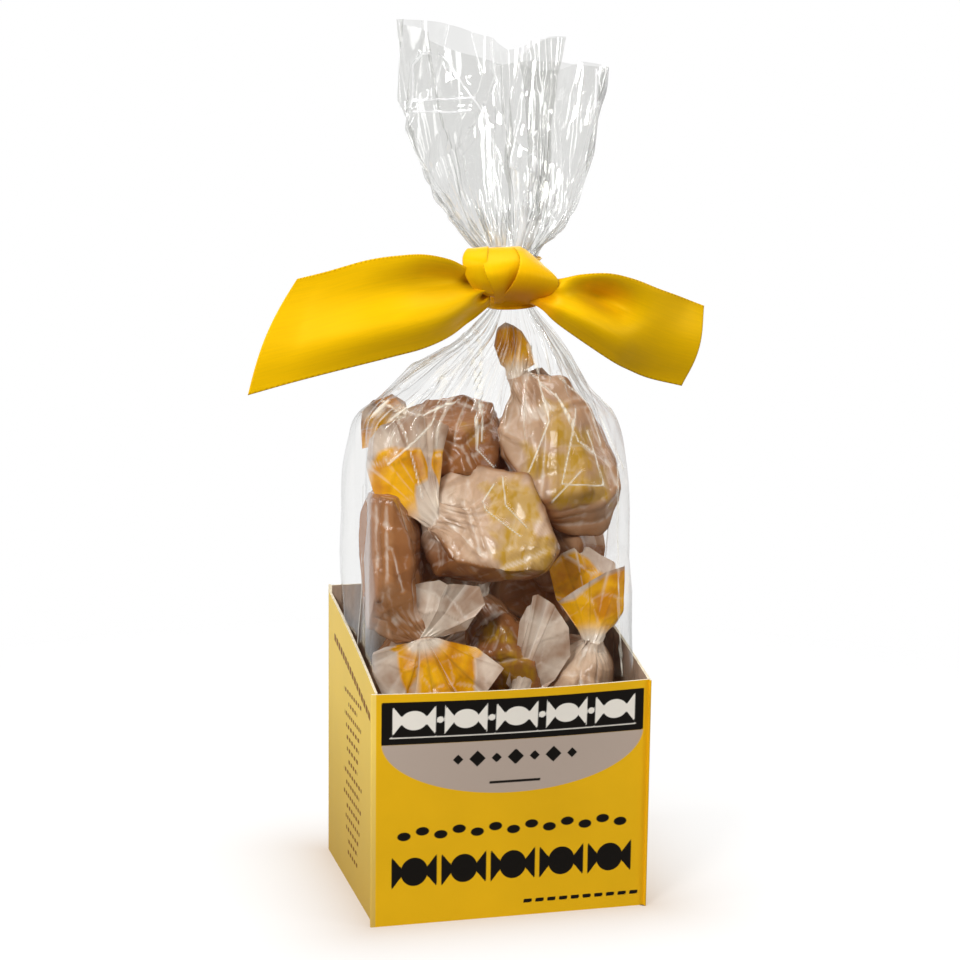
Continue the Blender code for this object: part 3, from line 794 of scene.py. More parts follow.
SWEETS = [
    sweet(
        "middle", (-1.3, -8.0, 86.5), (-15.3, -7.9, 89.5), (10.0, 4.0, 84.0),
        faces=[
            (-0.18, -0.84, 0.52, 7.5, 0.10), (-0.43, -0.77, 0.47, 9.2, 0.25), (-0.25, -0.71, 0.66, 7.1, 0.15),
            (-0.94, -0.34, -0.07, 14.0, 1.0), (0.07, -0.43, -0.90, 13.8, 0.5), (-0.35, -0.52, -0.78, 13.6, 0.75),
            (0.12, 0.01, 0.99, 12.6, 0.35), (0.86, -0.28, 0.42, 12.9, 0.3), (0.73, -0.41, -0.55, 16.5, 0.35),
            (-0.06, -0.28, -0.96, 12.9, 0.5), (-0.88, 0.03, -0.47, 16.8, 0.5), (-0.92, 0.18, 0.35, 14.4, 0.35),
        ],
        front=[
            (-20.0, -8.5, 88.9, 0.2, 1.1), (-23.0, -9.5, 90.1, 0.2, 1.1), (-26.0, -8.5, 90.7, 0.2, 1.1),
            (-28.1, -6.5, 95.2, 0.2, 1.1), (-29.2, -4.0, 100.6, 0.25, 0.95), (-28.3, -3.0, 106.1, 0.3, 0.84),
            (-25.9, -3.5, 109.3, 0.35, 0.76), (-22.7, -5.5, 110.6, 0.35, 0.7), (-18.7, -4.0, 111.5, 0.35, 0.66),
            (-15.5, -2.5, 110.7, 0.6, 0.3), (-13.7, -4.5, 110.7, 0.4, 0.66), (-10.6, -4.5, 109.0, 0.25, 0.72),
            (-11.3, -3.5, 103.4, 0.25, 0.95), (-12.9, -4.5, 99.2, 0.25, 1.0), (-14.2, -5.5, 93.5, 0.9, 0.3),
        ],
        back=[
            (-12.3, -1.5, 93.9, 0.5, 0.6), (-9.8, 1.5, 104.9, 0.3, 0.6), (-15.0, 3.5, 109.4, 0.3, 0.6),
            (-23.2, 3.5, 107.8, 0.3, 0.6), (-27.0, 2.0, 98.4, 0.3, 0.6), (-23.7, -2.0, 90.4, 0.3, 0.6),
        ],
        folds=[
            (0.6, 1.2, [(-15.2, 91.4), (-5.6, 81.9)]), (0.7, 1.0, [(-8.0, 91.9), (-6.0, 82.6)]),
            (-0.7, 1.2, [(-15.4, 88.0), (-12.3, 81.4)]), (0.5, 0.9, [(-15.0, 83.6), (-14.3, 76.4)]),
            (0.5, 0.9, [(-17.4, 85.0), (-17.7, 77.3)]), (-0.5, 1.5, [(-11.3, 99.4), (-10.1, 93.4)]),
        ],
        print_boxes=[(2.4, 92.6, 5.4, 4.2), (2.6, 86.2, 3.6, 2.6), (3.8, 81.4, 6.4, 4.0)],
        gather=1.35,
    ),
    sweet(
        "top_right", (16.8, -2.5, 100.6), (7.2, 1.3, 119.8), (25.8, 6.0, 84.0),
        faces=[
            (-0.69, -0.67, 0.28, 10.5, 0.12), (-0.24, -0.88, 0.42, 9.0, 0.18), (0.48, -0.76, 0.43, 9.8, 0.3),
            (-0.06, -0.86, -0.50, 14.7, 0.35), (0.48, -0.84, -0.27, 14.8, 0.3), (-0.40, -0.66, -0.64, 15.4, 0.5),
            (-0.99, 0.15, 0.06, 14.9, 0.35), (-0.95, 0.08, -0.30, 12.3, 0.35), (-0.89, 0.03, -0.46, 11.3, 0.5),
            (-0.69, -0.07, -0.72, 13.6, 0.6), (-0.06, -0.28, -0.96, 18.8, 0.6), (0.60, -0.41, -0.69, 20.2, 0.6),
            (0.85, -0.41, -0.33, 17.8, 0.5), (0.84, -0.27, 0.47, 11.8, 0.6), (0.81, -0.25, 0.54, 11.7, 0.6),
            (0.72, -0.20, 0.67, 13.1, 0.35), (-0.15, 0.09, 0.99, 21.0, 0.2),
        ],
        front=[
            (3.7, 2.6, 121.8, 0.1, 0.95), (2.2, 3.2, 126.2, 0.1, 0.95), (2.6, 2.3, 130.4, 0.15, 0.97),
            (4.2, 0.5, 131.9, 0.15, 0.9), (6.3, 1.9, 131.1, 0.2, 0.97), (7.8, -0.3, 129.9, 0.15, 0.97),
            (10.0, -0.4, 126.4, 0.15, 0.97), (11.2, 0.1, 122.2, 0.15, 0.95),
        ],
        back=[(10.9, 3.4, 125.1, 0.2, 0.6), (7.7, 5.0, 129.6, 0.2, 0.6), (4.2, 5.3, 126.1, 0.2, 0.6)],
        folds=[
            (-0.8, 1.2, [(22.6, 111.7), (25.6, 104.4), (29.3, 95.0)]),
            (0.5, 1.0, [(11.9, 114.6), (11.4, 106.1), (9.0, 94.0)]),
        ],
        print_boxes=[
            (14.5, 108.6, 2.4, 4.6), (12.4, 100.9, 5.4, 2.8), (18.2, 103.4, 3.2, 4.4), (18.7, 95.4, 6.6, 3.4),
        ],
    ),
    sweet(
        "left", (-22.3, -7.0, 77.6), (-17.2, -12.9, 61.6), (-19.0, 6.0, 98.0),
        faces=[
            (-0.97, -0.24, 0.07, 10.2, 0.5), (-0.64, -0.76, 0.15, 10.3, 0.55), (0.15, -0.98, 0.16, 9.8, 0.9),
            (-0.57, -0.56, -0.60, 13.2, 0.4), (-0.23, -0.90, -0.36, 10.9, 0.5), (-0.95, 0.17, 0.27, 11.4, 0.5),
            (-0.99, 0.14, 0.02, 10.2, 0.5), (-0.62, -0.10, -0.78, 18.5, 0.5), (-0.45, -0.16, -0.88, 18.5, 0.5),
            (0.49, -0.39, -0.78, 15.4, 0.5), (0.87, -0.29, 0.39, 6.4, 0.6), (0.93, -0.36, 0.06, 4.5, 0.6),
            (0.18, 0.0, 0.98, 15.8, 0.6),
        ],
        flap=(
            [
                (-22.3, -12.9, 66.0, 1, 0), (-21.7, -14.2, 71.3, 1, 0), (-20.1, -15.2, 74.4, 1, 0),
                (-17.3, -16.0, 75.1, 1, 0), (-15.9, -17.2, 75.7, 1, 0), (-13.5, -18.4, 74.3, 1, 0),
                (-8.8, -16.6, 74.4, 1, 0), (-6.0, -17.2, 74.3, 1, 0), (-4.7, -17.6, 70.3, 1, 0),
                (-7.0, -17.6, 67.6, 1, 0), (-8.5, -15.3, 64.3, 1, 0), (-12.9, -14.4, 62.7, 1, 0),
            ],
            [(-8.2, -10.4, 65.7, 1, 0), (-6.3, -10.0, 70.6, 1, 0), (-15.1, -7.5, 71.4, 1, 0), (-19.4, -8.2, 67.1, 1, 0)],
        ),
        front=[
            (-20.6, -13.4, 59.6, 1, 0), (-25.9, -10.4, 59.7, 0.2, 0.7), (-29.8, -12.7, 58.5, 0.15, 0.62),
            (-30.3, -12.6, 56.2, 0.2, 0.45), (-27.1, -15.2, 48.8, 0.2, 0.6), (-23.4, -17.0, 47.8, 0.15, 0.8),
            (-20.8, -16.0, 47.4, 0.15, 1.2), (-16.6, -20.0, 48.3, 0.15, 1.2), (-12.1, -20.5, 48.6, 0.15, 1.2),
            (-10.3, -18.4, 48.0, 0.15, 1.2), (-5.1, -21.0, 50.8, 0.15, 0.8), (-0.8, -19.8, 55.7, 0.15, 0.62),
            (-6.3, -15.8, 60.3, 0.15, 1.1), (-10.5, -14.4, 60.6, 0.2, 1.1), (-14.0, -13.9, 60.6, 1, 0),
        ],
        back=[
            (-7, -13.3, 57, 0.2, 0.6), (-3.6, -14.9, 53, 0.2, 0.6), (-9.2, -14.8, 47.7, 0.2, 0.6),
            (-16.3, -13.5, 47.3, 0.2, 0.6), (-22.7, -10.9, 49.8, 0.2, 0.6), (-26.8, -8.3, 55.4, 0.2, 0.6),
            (-22.3, -9.1, 57.5, 0.2, 0.6),
        ],
        folds=[
            (-0.6, 1.0, [(-27.7, 93.8), (-27.9, 80.7), (-28.8, 72.1)]),
            (0.4, 1.0, [(-25.9, 83.5), (-24.8, 78.7), (-23.6, 74.2)]),
        ],
    ),
    sweet(
        "right", (21.4, -14.0, 52.3), (21.7, -14.8, 60.1), (22.2, -13.8, 40.0),
        faces=[
            (-0.53, -0.47, 0.70, 6.9, 0.0), (-0.02, -0.76, 0.65, 6.3, 0.05), (0.63, -0.54, 0.55, 5.1, 0.0),
            (-0.92, -0.38, 0.09, 9.0, 0.1), (0.24, -0.93, 0.27, 6.0, 0.15), (0.78, -0.62, 0.10, 4.3, 0.1),
            (-0.84, -0.10, 0.53, 7.9, 0.2), (-0.99, 0.10, 0.05, 10.5, 0.2), (-0.06, -0.28, -0.96, 9.5, 0.2),
            (0.93, -0.36, 0.10, 4.7, 0.2), (0.90, -0.31, 0.30, 5.0, 0.2), (0.0, 0.05, 1.0, 7.1, 0.2),
        ],
        front=[
            (18.8, -15.0, 61.7, 0.5, 1.0), (13.6, -13.5, 69.3, 0.12, 0.95), (16.3, -15.5, 71.5, 0.1, 0.86),
            (20.1, -16.8, 74.0, 0.1, 0.92), (25.0, -15.5, 76.0, 0.1, 0.94), (29.3, -15.5, 77.3, 0.1, 0.95),
            (29.6, -15.0, 71.5, 0.15, 0.95), (29.9, -14.5, 67.4, 0.2, 0.95), (27.5, -14.0, 63.4, 0.3, 0.9),
            (24.7, -14.0, 61.2, 0.9, 0.4),
        ],
        back=[
            (27.9, -11.0, 66.5, 1, 0.5), (31.6, -9.0, 73.9, 0.1, 0.8), (28.9, -8.0, 76.8, 0.1, 0.8),
            (25.2, -8.5, 78.8, 0.1, 0.8), (22.6, -8.5, 80.6, 0.1, 0.86), (19.0, -9.0, 80.8, 0.1, 0.95),
            (15.8, -8.0, 79.1, 0.1, 0.98), (12.8, -8.5, 75.9, 0.1, 1.1), (14.0, -10.5, 69.4, 0.1, 1.0),
        ],
        folds=[
            (0.6, 1.0, [(19.8, 59.8), (17.4, 54.7), (16.5, 47.8)]),
            (-0.6, 1.0, [(22.0, 59.9), (20.1, 54.7), (20.0, 47.8)]),
        ],
    ),
    sweet(
        "leaf", (4.5, -11.0, 36.0), (4.1, -14.6, 48.3), (5.0, -9.0, 22.0),
        front=[
            (1.0, -15.2, 51.0, 1, 0), (3.2, -14.8, 57.3, 1, 0), (4.4, -14.6, 65.2, 1, 0), (6.4, -14.6, 69.0, 1, 0),
            (6.5, -15.6, 71.2, 1, 0), (7.9, -16.6, 71.7, 1, 0), (10.1, -16.6, 70.2, 1, 0),
            (11.2, -18.4, 69.3, 1, 0), (14.6, -18.6, 64.4, 1, 0), (15.4, -17.8, 57.6, 1, 0),
            (12.0, -17.1, 51.7, 1, 0), (7.6, -17.2, 48.0, 1, 0),
        ],
        back=[
            (11.1, -12.2, 54.8, 1, 0), (14.9, -11.4, 59.6, 1, 0), (12.1, -10.5, 66.1, 1, 0),
            (8.2, -9.3, 67.5, 1, 0), (5.6, -10.3, 57.5, 1, 0),
        ],
    ),
    sweet(
        "centre_low", (3.3, -6.0, 55.3), (-2.3, -2.2, 68.7), (6.7, -3.5, 36.0),
        faces=[
            (-0.76, -0.43, 0.48, 8.3, 1.0), (-0.10, -0.78, 0.61, 9.5, 0.95), (-0.51, -0.82, -0.26, 8.3, 0.9),
            (-0.61, 0.17, 0.78, 12.7, 0.6), (0.20, -0.01, 0.98, 11.4, 0.6), (0.67, -0.18, 0.72, 8.1, 0.6),
            (0.93, -0.35, 0.11, 8.3, 0.6), (-0.06, -0.28, -0.96, 10.3, 0.6), (-0.99, 0.15, 0.06, 8.6, 0.6),
        ],
        print_boxes=[(-0.3, 61.6, 2.9, 1.9), (2.8, 57.0, 3.0, 1.7), (3.5, 52.2, 2.8, 2.5)],
    ),
    sweet(
        "back_top", (-7.8, 6.0, 105.1), (-18.0, 7.3, 108.9), (5.8, 6.4, 104.2),
        faces=[
            (-0.19, -0.49, 0.85, 4.9, 0.6), (-0.62, -0.73, 0.29, 6.8, 0.8), (0.36, -0.83, 0.43, 8.2, 0.9),
            (-0.34, 0.13, 0.93, 10.4, 0.6), (0.05, 0.03, 1.0, 8.4, 0.6), (0.91, -0.32, 0.26, 11.9, 0.6),
            (0.91, -0.39, -0.14, 12.4, 0.6), (-0.06, -0.28, -0.96, 10.1, 0.6), (-0.96, 0.09, -0.26, 11.1, 0.6),
            (-0.94, 0.18, 0.30, 11.8, 0.6),
        ],
        front=[
            (-21.8, 6.8, 102.8, 0.1, 0.6), (-25.6, 6.5, 103.0, 0.1, 1.1), (-27.6, 8.0, 102.3, 0.1, 1.1),
            (-27.3, 11.0, 106.3, 0.1, 1.1), (-26.8, 12.0, 112.7, 0.1, 0.6), (-23.8, 8.5, 113.6, 0.1, 1.1),
            (-20.2, 10.0, 114.7, 0.1, 0.9), (-17.3, 9.0, 112.9, 0.1, 0.6),
        ],
        back=[(-16.6, 9.4, 110.9, 0.2, 0.7), (-19.7, 12.5, 112.0, 0.1, 0.8), (-24.5, 14.5, 110.0, 0.1, 0.8),
              (-22.6, 11.8, 103.7, 0.1, 0.8)],
        print_boxes=[(-3.0, 106.5, 1.6, 1.8)],
    ),
    sweet("dark_middle", (10.7, 8.5, 67.5), (-4.5, 8.0, 69.0), (26.0, 9.0, 66.0)),
    sweet("behind_right", (20.5, 6.0, 77.0), (8.0, 2.0, 78.0), (25.0, 18.0, 76.0)),
    sweet("back_left", (-15.0, 11.5, 81.5), (-16.0, 12.0, 97.0), (-14.0, 11.0, 66.0)),
    sweet("back_right", (15.0, 12.5, 97.5), (16.0, 12.5, 112.0), (14.0, 12.5, 83.0)),
    sweet("low_left", (-18.0, 3.0, 48.0), (-10.0, 14.0, 52.0), (-24.0, -8.0, 42.0)),
    sweet("low_back", (7.0, 13.5, 47.0), (-8.0, 14.0, 50.0), (22.0, 13.0, 44.0)),
    sweet("low_front", (14.0, -2.0, 40.0), (3.0, 2.0, 36.0), (25.0, -6.0, 40.0)),
    sweet("floor_left", (-16.0, 0.0, 13.5), (-17.0, -18.0, 13.0), (-15.0, 18.0, 14.0)),
    sweet("floor_right", (16.0, 0.0, 13.5), (17.0, 18.0, 13.0), (15.0, -18.0, 14.0)),
]

BODY_RADIUS = 10.0
BODY_HALF = 10.5
AHEAD = (0.25, 0.95, -0.17)  # the way across each body and away from the bag's front left


def cone_faces(pole, side_ways, long, radius, neck, cling):
    """Flat faces that slope from round the body to its twist, which lies the length away along the pole."""
    run, drop = max(long - BODY_HALF * 0.75, 0.35 * long), radius - neck
    norm = np.hypot(run, drop)
    ways = (run * side_ways + drop * pole) / norm
    reach = np.full((len(ways), 1), (drop * long + run * neck) / norm)
    return np.hstack([ways, reach, np.full((len(ways), 1), cling)])


def body_faces(one, poles, across, deep, neck, rng):
    """The given faces closed with seeded ones behind, or a seeded many-sided body that slopes to both twists."""
    if one["faces"]:
        turns = np.radians(np.arange(0, 360, 60) + rng.uniform(-12, 12, 6))
        away, up = unit(AHEAD), unit(np.cross(across, AHEAD))
        ways = 0.75 * away + 0.66 * (np.cos(turns)[:, None] * across + np.sin(turns)[:, None] * up)
        ways = np.vstack([ways, away])
        reach = BODY_RADIUS * rng.uniform(0.85, 1.1, 7)
        return np.vstack([one["faces"], np.hstack([ways, reach[:, None], np.full((7, 1), 0.6)])])
    turns = np.radians(np.arange(0, 360, 45) + rng.uniform(-8, 8, 8) + rng.uniform(0, 90))
    ways = np.cos(turns)[:, None] * across + np.sin(turns)[:, None] * deep + rng.normal(0, 0.08, (8, 3))
    reach = BODY_RADIUS * np.where(np.arange(8) % 2, 1.07, 0.92) * rng.uniform(0.94, 1.04, 8)
    made = [np.hstack([ways, reach[:, None], np.where(np.arange(8) % 2, 0.3, 0.8)[:, None]])]
    for pole, tip in zip(poles, (one["tip"], one["back_tip"])):
        turns = np.radians(np.arange(0, 360, 60) + rng.uniform(-12, 12, 6))
        side_ways = np.cos(turns)[:, None] * across + np.sin(turns)[:, None] * deep
        long = np.linalg.norm(tip - one["middle"])
        made.append(cone_faces(pole, side_ways, long, BODY_RADIUS * 1.05, neck, 0.35))
    return np.concatenate(made)


def bulges(points, rng, size, height):
    """Soft uneven relief: sine waves in seeded directions, added up."""
    relief = 0
    for _ in range(5):
        way = unit(rng.normal(0, 1, 3)) / (size * rng.uniform(0.7, 1.5))
        relief = relief + np.sin(TURN * (points @ way) + rng.uniform(0, TURN))
    return height * relief / 5


def long_folds(points, rng, count, height):
    """Straight creases: where seeded planes cut the surface, ridges and valleys with straight flanks."""
    relief = 0
    flat = points.reshape(-1, 3)
    for _ in range(count):
        start = flat[rng.integers(len(flat))]
        way, other = unit(rng.normal(0, 1, (2, 3)))
        wide, long = rng.uniform(0.8, 2.0), rng.uniform(3, 9)
        tent = np.maximum(1 - np.abs((points - start) @ way) / wide, 0)
        tent = tent * np.clip(1.5 - np.abs((points - start) @ other) / long, 0, 1)
        relief = relief + rng.choice((-0.9, 1.0)) * rng.uniform(0.5, 1.0) * tent
    return height * relief


def body_grid(one, faces, pole, across, deep, neck, rows, angle, rng):
    """The body, along rays from its middle: each reaches as far as the nearest face that looks its way.

    The least reach is softened by a power mean, which rounds the creases, and near each twist the rays close in
    on its ring. Gives the points, how far the paper clings there, and how white its gathers are."""
    ends = [np.linalg.norm(one[tip] - one["middle"]) for tip in ("tip", "back_tip")]
    slope = np.linspace(np.arctan(neck / ends[0]), np.pi - np.arctan(neck / ends[1]), rows)[:, None]
    round_it = np.cos(angle)[:, None] * across + np.sin(angle)[:, None] * deep
    rays = np.cos(slope)[..., None] * pole + np.sin(slope)[..., None] * round_it
    facing = np.maximum(rays @ unit(faces[:, :3]).T, 1e-3) / faces[:, 3]
    most = facing.max(-1, keepdims=True)
    share = facing / most
    reach = 1 / (most[..., 0] * (share**36).sum(-1) ** (1 / 36))
    points = one["middle"] + reach[..., None] * rays
    sharp = share**110
    cling = (sharp * faces[:, 4]).sum(-1) / sharp.sum(-1)
    white = 0
    turn = angle / TURN
    for tip, sign, size in (("tip", 1, one["gather"]), ("back_tip", -1, 1.0)):
        far = np.linalg.norm(points - one[tip], axis=-1) / size
        start = slope[0] if sign > 0 else np.pi - slope[-1]
        off = (slope if sign > 0 else np.pi - slope) - start
        ring = one[tip] + size * neck * round_it
        closed = (1 - ease(off / 0.22))[..., None]
        points = points * (1 - closed) + ring * closed
        gathers = 0.6 * zigzag(9 * turn + 0.5 * np.sin(angle + far / 9)) + 0.4 * zigzag(17 * turn + 0.03 * far)
        close = np.exp(-far / 5.0) * ease(off / 0.1)
        points = points + (1.1 * gathers * close)[..., None] * rays
        white = np.maximum(white, np.exp(-((far / 4.5) ** 2)))
    return points, cling * (1 - white), white


def corner_loop(corners, count):
    """Points along straight lines through the corners, count in all, each line with its share of them by length."""
    corners = np.array(corners, float)
    length = np.linalg.norm(np.diff(corners[:, :3], axis=0), axis=1)
    edges = np.round(np.concatenate([[0], np.cumsum(length)]) / length.sum() * count)
    edges = np.maximum.accumulate(edges + 1e-6 * np.arange(len(edges)))
    place = np.interp(np.arange(count), edges, np.arange(len(corners)))
    i = np.minimum(place.astype(int), len(corners) - 2)
    t = (place - i)[:, None]
    return corners[i] * (1 - t) + corners[i + 1] * t


def spread_end(one, tip, pole, across, deep, neck, rows, angle, rng):
    """The wrapper's end past a twist: straight lines from the ring of the twist to the corners of its cut edge.

    Without given corners it is a small seeded one. Gives points, distance into the yellow print, and whiteness."""
    columns = len(angle)
    front, back = one
    if not len(front):
        reach = rng.uniform(7, 9.5, 9)
        swing = np.radians(np.linspace(-50, 50, 6))
        way = unit(pole + rng.normal(0, 0.2, 3))
        lift = rng.uniform(0.3, 2.0, 6) * (-1, 1, -1, 1, -1, 1)
        out = tip + reach[:6, None] * (np.cos(swing)[:, None] * way - np.sin(swing)[:, None] * across)
        front = np.hstack([out + lift[:, None] * deep + 1.2 * deep, np.full((6, 1), 0.9), np.full((6, 1), 0.1)])
        back = front[[4, 3, 1]] - (*(2.4 * deep), 0.0, 0.0)
    front, back = np.array(front, float), np.array(back, float)
    half = columns // 2
    loop = np.concatenate([
        corner_loop(np.vstack([front, back[:1]]), half), corner_loop(np.vstack([back, front[:1]]), columns - half)
    ])
    # The ring starts on the side that the first corner lies, and goes round by the front
    if (front[0, :3] - tip) @ across < 0:
        loop = loop[(half - np.arange(columns)) % columns]
    rise = np.linspace(0, 1, rows + 1)[1:, None]
    span = loop[:, :3] - tip
    ring = neck * (np.cos(angle)[:, None] * across + np.sin(angle)[:, None] * deep)
    points = tip + ring * (1 - rise[..., None]) ** 2 + span * rise[..., None]
    turn = angle / TURN
    gathers = 0.6 * zigzag(9 * turn + 0.6 * np.sin(2 * angle)) + 0.4 * zigzag(17 * turn + 0.5 * rise)
    size = np.linalg.norm(span, axis=-1)
    far = rise * size
    points = points + (0.7 * gathers * ease(far / 1.5) * np.exp(-far / 2.2))[..., None] * (
        np.cos(angle)[:, None] * across + np.sin(angle)[:, None] * deep
    )
    yellow = np.minimum(rise - loop[:, 3], loop[:, 4] - rise) * np.maximum(size, 5)
    return points, yellow, np.exp(-((far / (1.5 * neck)) ** 4))


def wrapper(one, neck, rows, columns):
    """A twist-wrapped caramel as one tube: spread end, twist, many-sided body, twist, spread end."""
    rng = np.random.default_rng(sum(map(ord, one["name"])))
    angle = np.linspace(0, TURN, columns, endpoint=False)
    poles = [unit(one[tip] - one["middle"]) for tip in ("tip", "back_tip")]
    axis = unit(poles[0] - poles[1])
    across = unit(np.cross(axis, AHEAD))
    deep = np.cross(axis, across)
    faces = body_faces(one, poles, across, deep, neck, rng)
    end_rows, body_rows = rows
    points, cling, white = body_grid(one, faces, axis, across, deep, neck, body_rows, angle, rng)
    relief = bulges(points, rng, 9.0, 0.45) + long_folds(points, rng, 14, 0.45)
    relief = relief * (1 - white)
    front = points[..., 1] < one["middle"][1]
    for height, wide, line in one["folds"]:
        off = line_distance(points[..., 0], points[..., 2], [line])
        relief = relief + height * np.where(front, np.maximum(1 - off / wide, 0), 0)
    points = points + normals(points, True) * relief[..., None]
    x, z = points[..., 0], points[..., 2]
    ink = np.full(x.shape, -3.0)
    for cx, cz, wide, high in one["print_boxes"]:
        ink = np.maximum(ink, box_field(x, z, cx, cz, wide, high))
    ink = np.where(front, ink + bulges(points, rng, 5.0, 1.6), -3.0)
    first = spread_end(
        (one["front"], one["back"]), one["tip"], axis, across, deep, one["gather"] * neck, end_rows, angle, rng
    )
    last = spread_end(((), ()), one["back_tip"], -axis, across, deep, neck, end_rows, angle, rng)
    made = []
    if one["flap"][0]:
        flap = spread_end(one["flap"], one["tip"], axis, across, deep, neck, end_rows, angle, rng)
        relief = facets(flap[0], 30, 0.8, rng.integers(1000)) * (1 - flap[2])
        loose = press_inside(flap[0] + normals(flap[0], True) * relief[..., None], 0.965)
        made.append(
            patch(
                loose, closed=True, yellow_print=-3.0, body_print=-3.0, cling=0.0, white=flap[2],
                crease=creases(loose), loose=1.0,
            )
        )
    grid = np.concatenate([first[0][::-1], points, last[0]])
    blank = np.zeros(first[1].shape)
    grid = grid + normals(grid, True) * facets(grid, 130, 0.28, rng.integers(1000))[..., None]
    grid = press_inside(grid, 0.965)
    loose = np.concatenate([blank + 1, 0 * cling, blank + 1])
    bent = creases(grid)
    main = patch(
        grid,
        closed=True,
        flip=True,
        yellow_print=np.concatenate([first[1][::-1], np.full(x.shape, -3.0), last[1]]),
        body_print=np.concatenate([blank - 3, ink, blank - 3]),
        cling=np.concatenate([blank, cling, blank]),
        white=np.concatenate([first[2][::-1], white, last[2]]),
        crease=np.where(loose > 0.5, bent, 1.4 * softened(bent)),
        loose=loose,
    )
    return [main, *made]


def waxed_paper(settings):
    """Waxed confectionery paper, thin and translucent: pale where loose, brown where it clings to the caramel."""
    made, tree = new_material("waxed confectionery paper")
    place = add_node(tree, "ShaderNodeTexCoord").outputs["Object"]
    cloud = add_node(tree, "ShaderNodeTexNoise", {"Vector": place, "Scale": 160.0, "Detail": 3.0}).outputs[0]
    fine = add_node(tree, "ShaderNodeTexNoise", {"Vector": place, "Scale": 1400.0, "Detail": 3.0}).outputs[0]
    # Cling is streaky along the block's grain, but keeps its straight edges
    cling = attribute(tree, "cling")
    cling = maths(tree, "MULTIPLY", cling, maths(tree, "MULTIPLY_ADD", cloud, 0.9, 0.55), clamp=True)
    ramp = add_node(tree, "ShaderNodeValToRGB", {"Fac": cling})
    ramp.color_ramp.elements[0].color = settings.paper[:]
    ramp.color_ramp.elements[1].color = settings.caramel[:]
    ramp.color_ramp.elements.new(0.5).color = settings.cling[:]
    # A loose layer has nothing behind it, and is greyer
    veil = blend(tree, maths(tree, "MULTIPLY_ADD", cloud, 4.0, -1.6, clamp=True), settings.loose[:], linear("#B5937A"))
    colour = blend(tree, attribute(tree, "loose"), ramp.outputs[0], veil)
    # The body's print, seen over the caramel, is dull; its letters are only uneven upright strokes
    grain = add_node(tree, "ShaderNodeMapping", {"Vector": place, "Scale": (1.0, 1.0, 0.25)}).outputs[0]
    stroke = add_node(tree, "ShaderNodeTexNoise", {"Vector": grain, "Scale": 620.0, "Detail": 1.0}).outputs[0]
    stroke = maths(tree, "MULTIPLY_ADD", stroke, 6.0, -2.7, clamp=True)
    ground = inside(tree, "body_print", 0.45)
    dull = blend(tree, cling, linear("#D2A83E"), linear("#A87818"))
    colour = blend(tree, maths(tree, "MULTIPLY", ground, 0.68), colour, dull)
    colour = blend(tree, maths(tree, "MULTIPLY", ground, maths(tree, "MULTIPLY", stroke, 0.75)), colour, linear("#C4940F"))
    yellow = blend(tree, maths(tree, "MULTIPLY_ADD", cloud, 4.0, -1.55, clamp=True), settings.print_yellow[:], linear("#D28600"))
    colour = blend(tree, inside(tree, "yellow_print", 1.0), colour, yellow)
    colour = blend(tree, maths(tree, "MULTIPLY", attribute(tree, "white"), 0.9), colour, linear("#F0E0CC"))
    # Ridges are whitened, partly as wax whitens where the paper is folded and partly as a painted highlight, and
    # valleys are darkened as painted shade
    crease = attribute(tree, "crease")
    colour = blend(tree, maths(tree, "MULTIPLY", crease, 0.45, clamp=True), colour, linear("#F4E6D6"))
    colour = blend(tree, maths(tree, "MULTIPLY", crease, -0.25, clamp=True), colour, linear("#7A4E2A"))
    bump = add_node(tree, "ShaderNodeBump", {"Height": fine, "Strength": 0.3, "Distance": 0.0002}).outputs[0]
    shader = add_node(
        tree,
        "ShaderNodeBsdfPrincipled",
        {"Base Color": colour, "Roughness": 0.22, "Normal": bump, "Specular IOR Level": 0.38},
    )
    glow = add_node(tree, "ShaderNodeBsdfTranslucent", {"Color": colour})
    mixed = add_node(tree, "ShaderNodeMixShader", {0: 0.15, 1: shader.outputs[0], 2: glow.outputs[0]})
    add_node(tree, "ShaderNodeOutputMaterial", {"Surface": mixed.outputs[0]})
    return made


class CARAMELS_OT_sweets(bpy.types.Operator):
    """Builds the twist-wrapped caramels that fill the bag"""

    bl_idname = "caramels.sweets"
    bl_label = "Wrapped caramels"

    def execute(self, context):
        settings = context.scene.caramels_sweets
        paper = waxed_paper(settings)
        for number, one in enumerate(SWEETS):
            seen = number < 9
            rows = (34, 120) if seen else (18, 64)
            grids = wrapper(one, settings.neck_radius / MM, rows, 176 if seen else 104)
            piece = add_piece("wrapper_" + one["name"], grids, [paper], smooth=24)
            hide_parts("bag")
        return {"FINISHED"}


# ---------------------------------------------------------------- ribbon

LEFT_TOP = [(-46.5, 143.2), (-40.5, 144.8), (-31.8, 147.4), (-24.7, 148.5), (-19.4, 148.7), (-14.0, 147.6), (-9.7, 145.8), (-5.0, 144.5)]
LEFT_LOW = [(-57.5, 118.2), (-47.6, 121.1), (-37.0, 123.9), (-26.4, 126.5), (-19.2, 128.3), (-12.0, 131.0), (-7.0, 133.6), (-3.0, 137.0)]
RIGHT_TOP = [(47.4, 136.3), (41.0, 138.6), (34.7, 140.7), (28.3, 143.0), (22.0, 144.4), (15.7, 144.1), (10.8, 142.9), (6.0, 142.5)]
RIGHT_LOW = [(43.5, 117.7), (35.3, 119.7), (29.5, 122.0), (24.5, 124.4), (16.0, 129.7), (10.1, 133.8), (7.2, 136.6), (4.0, 138.5)]


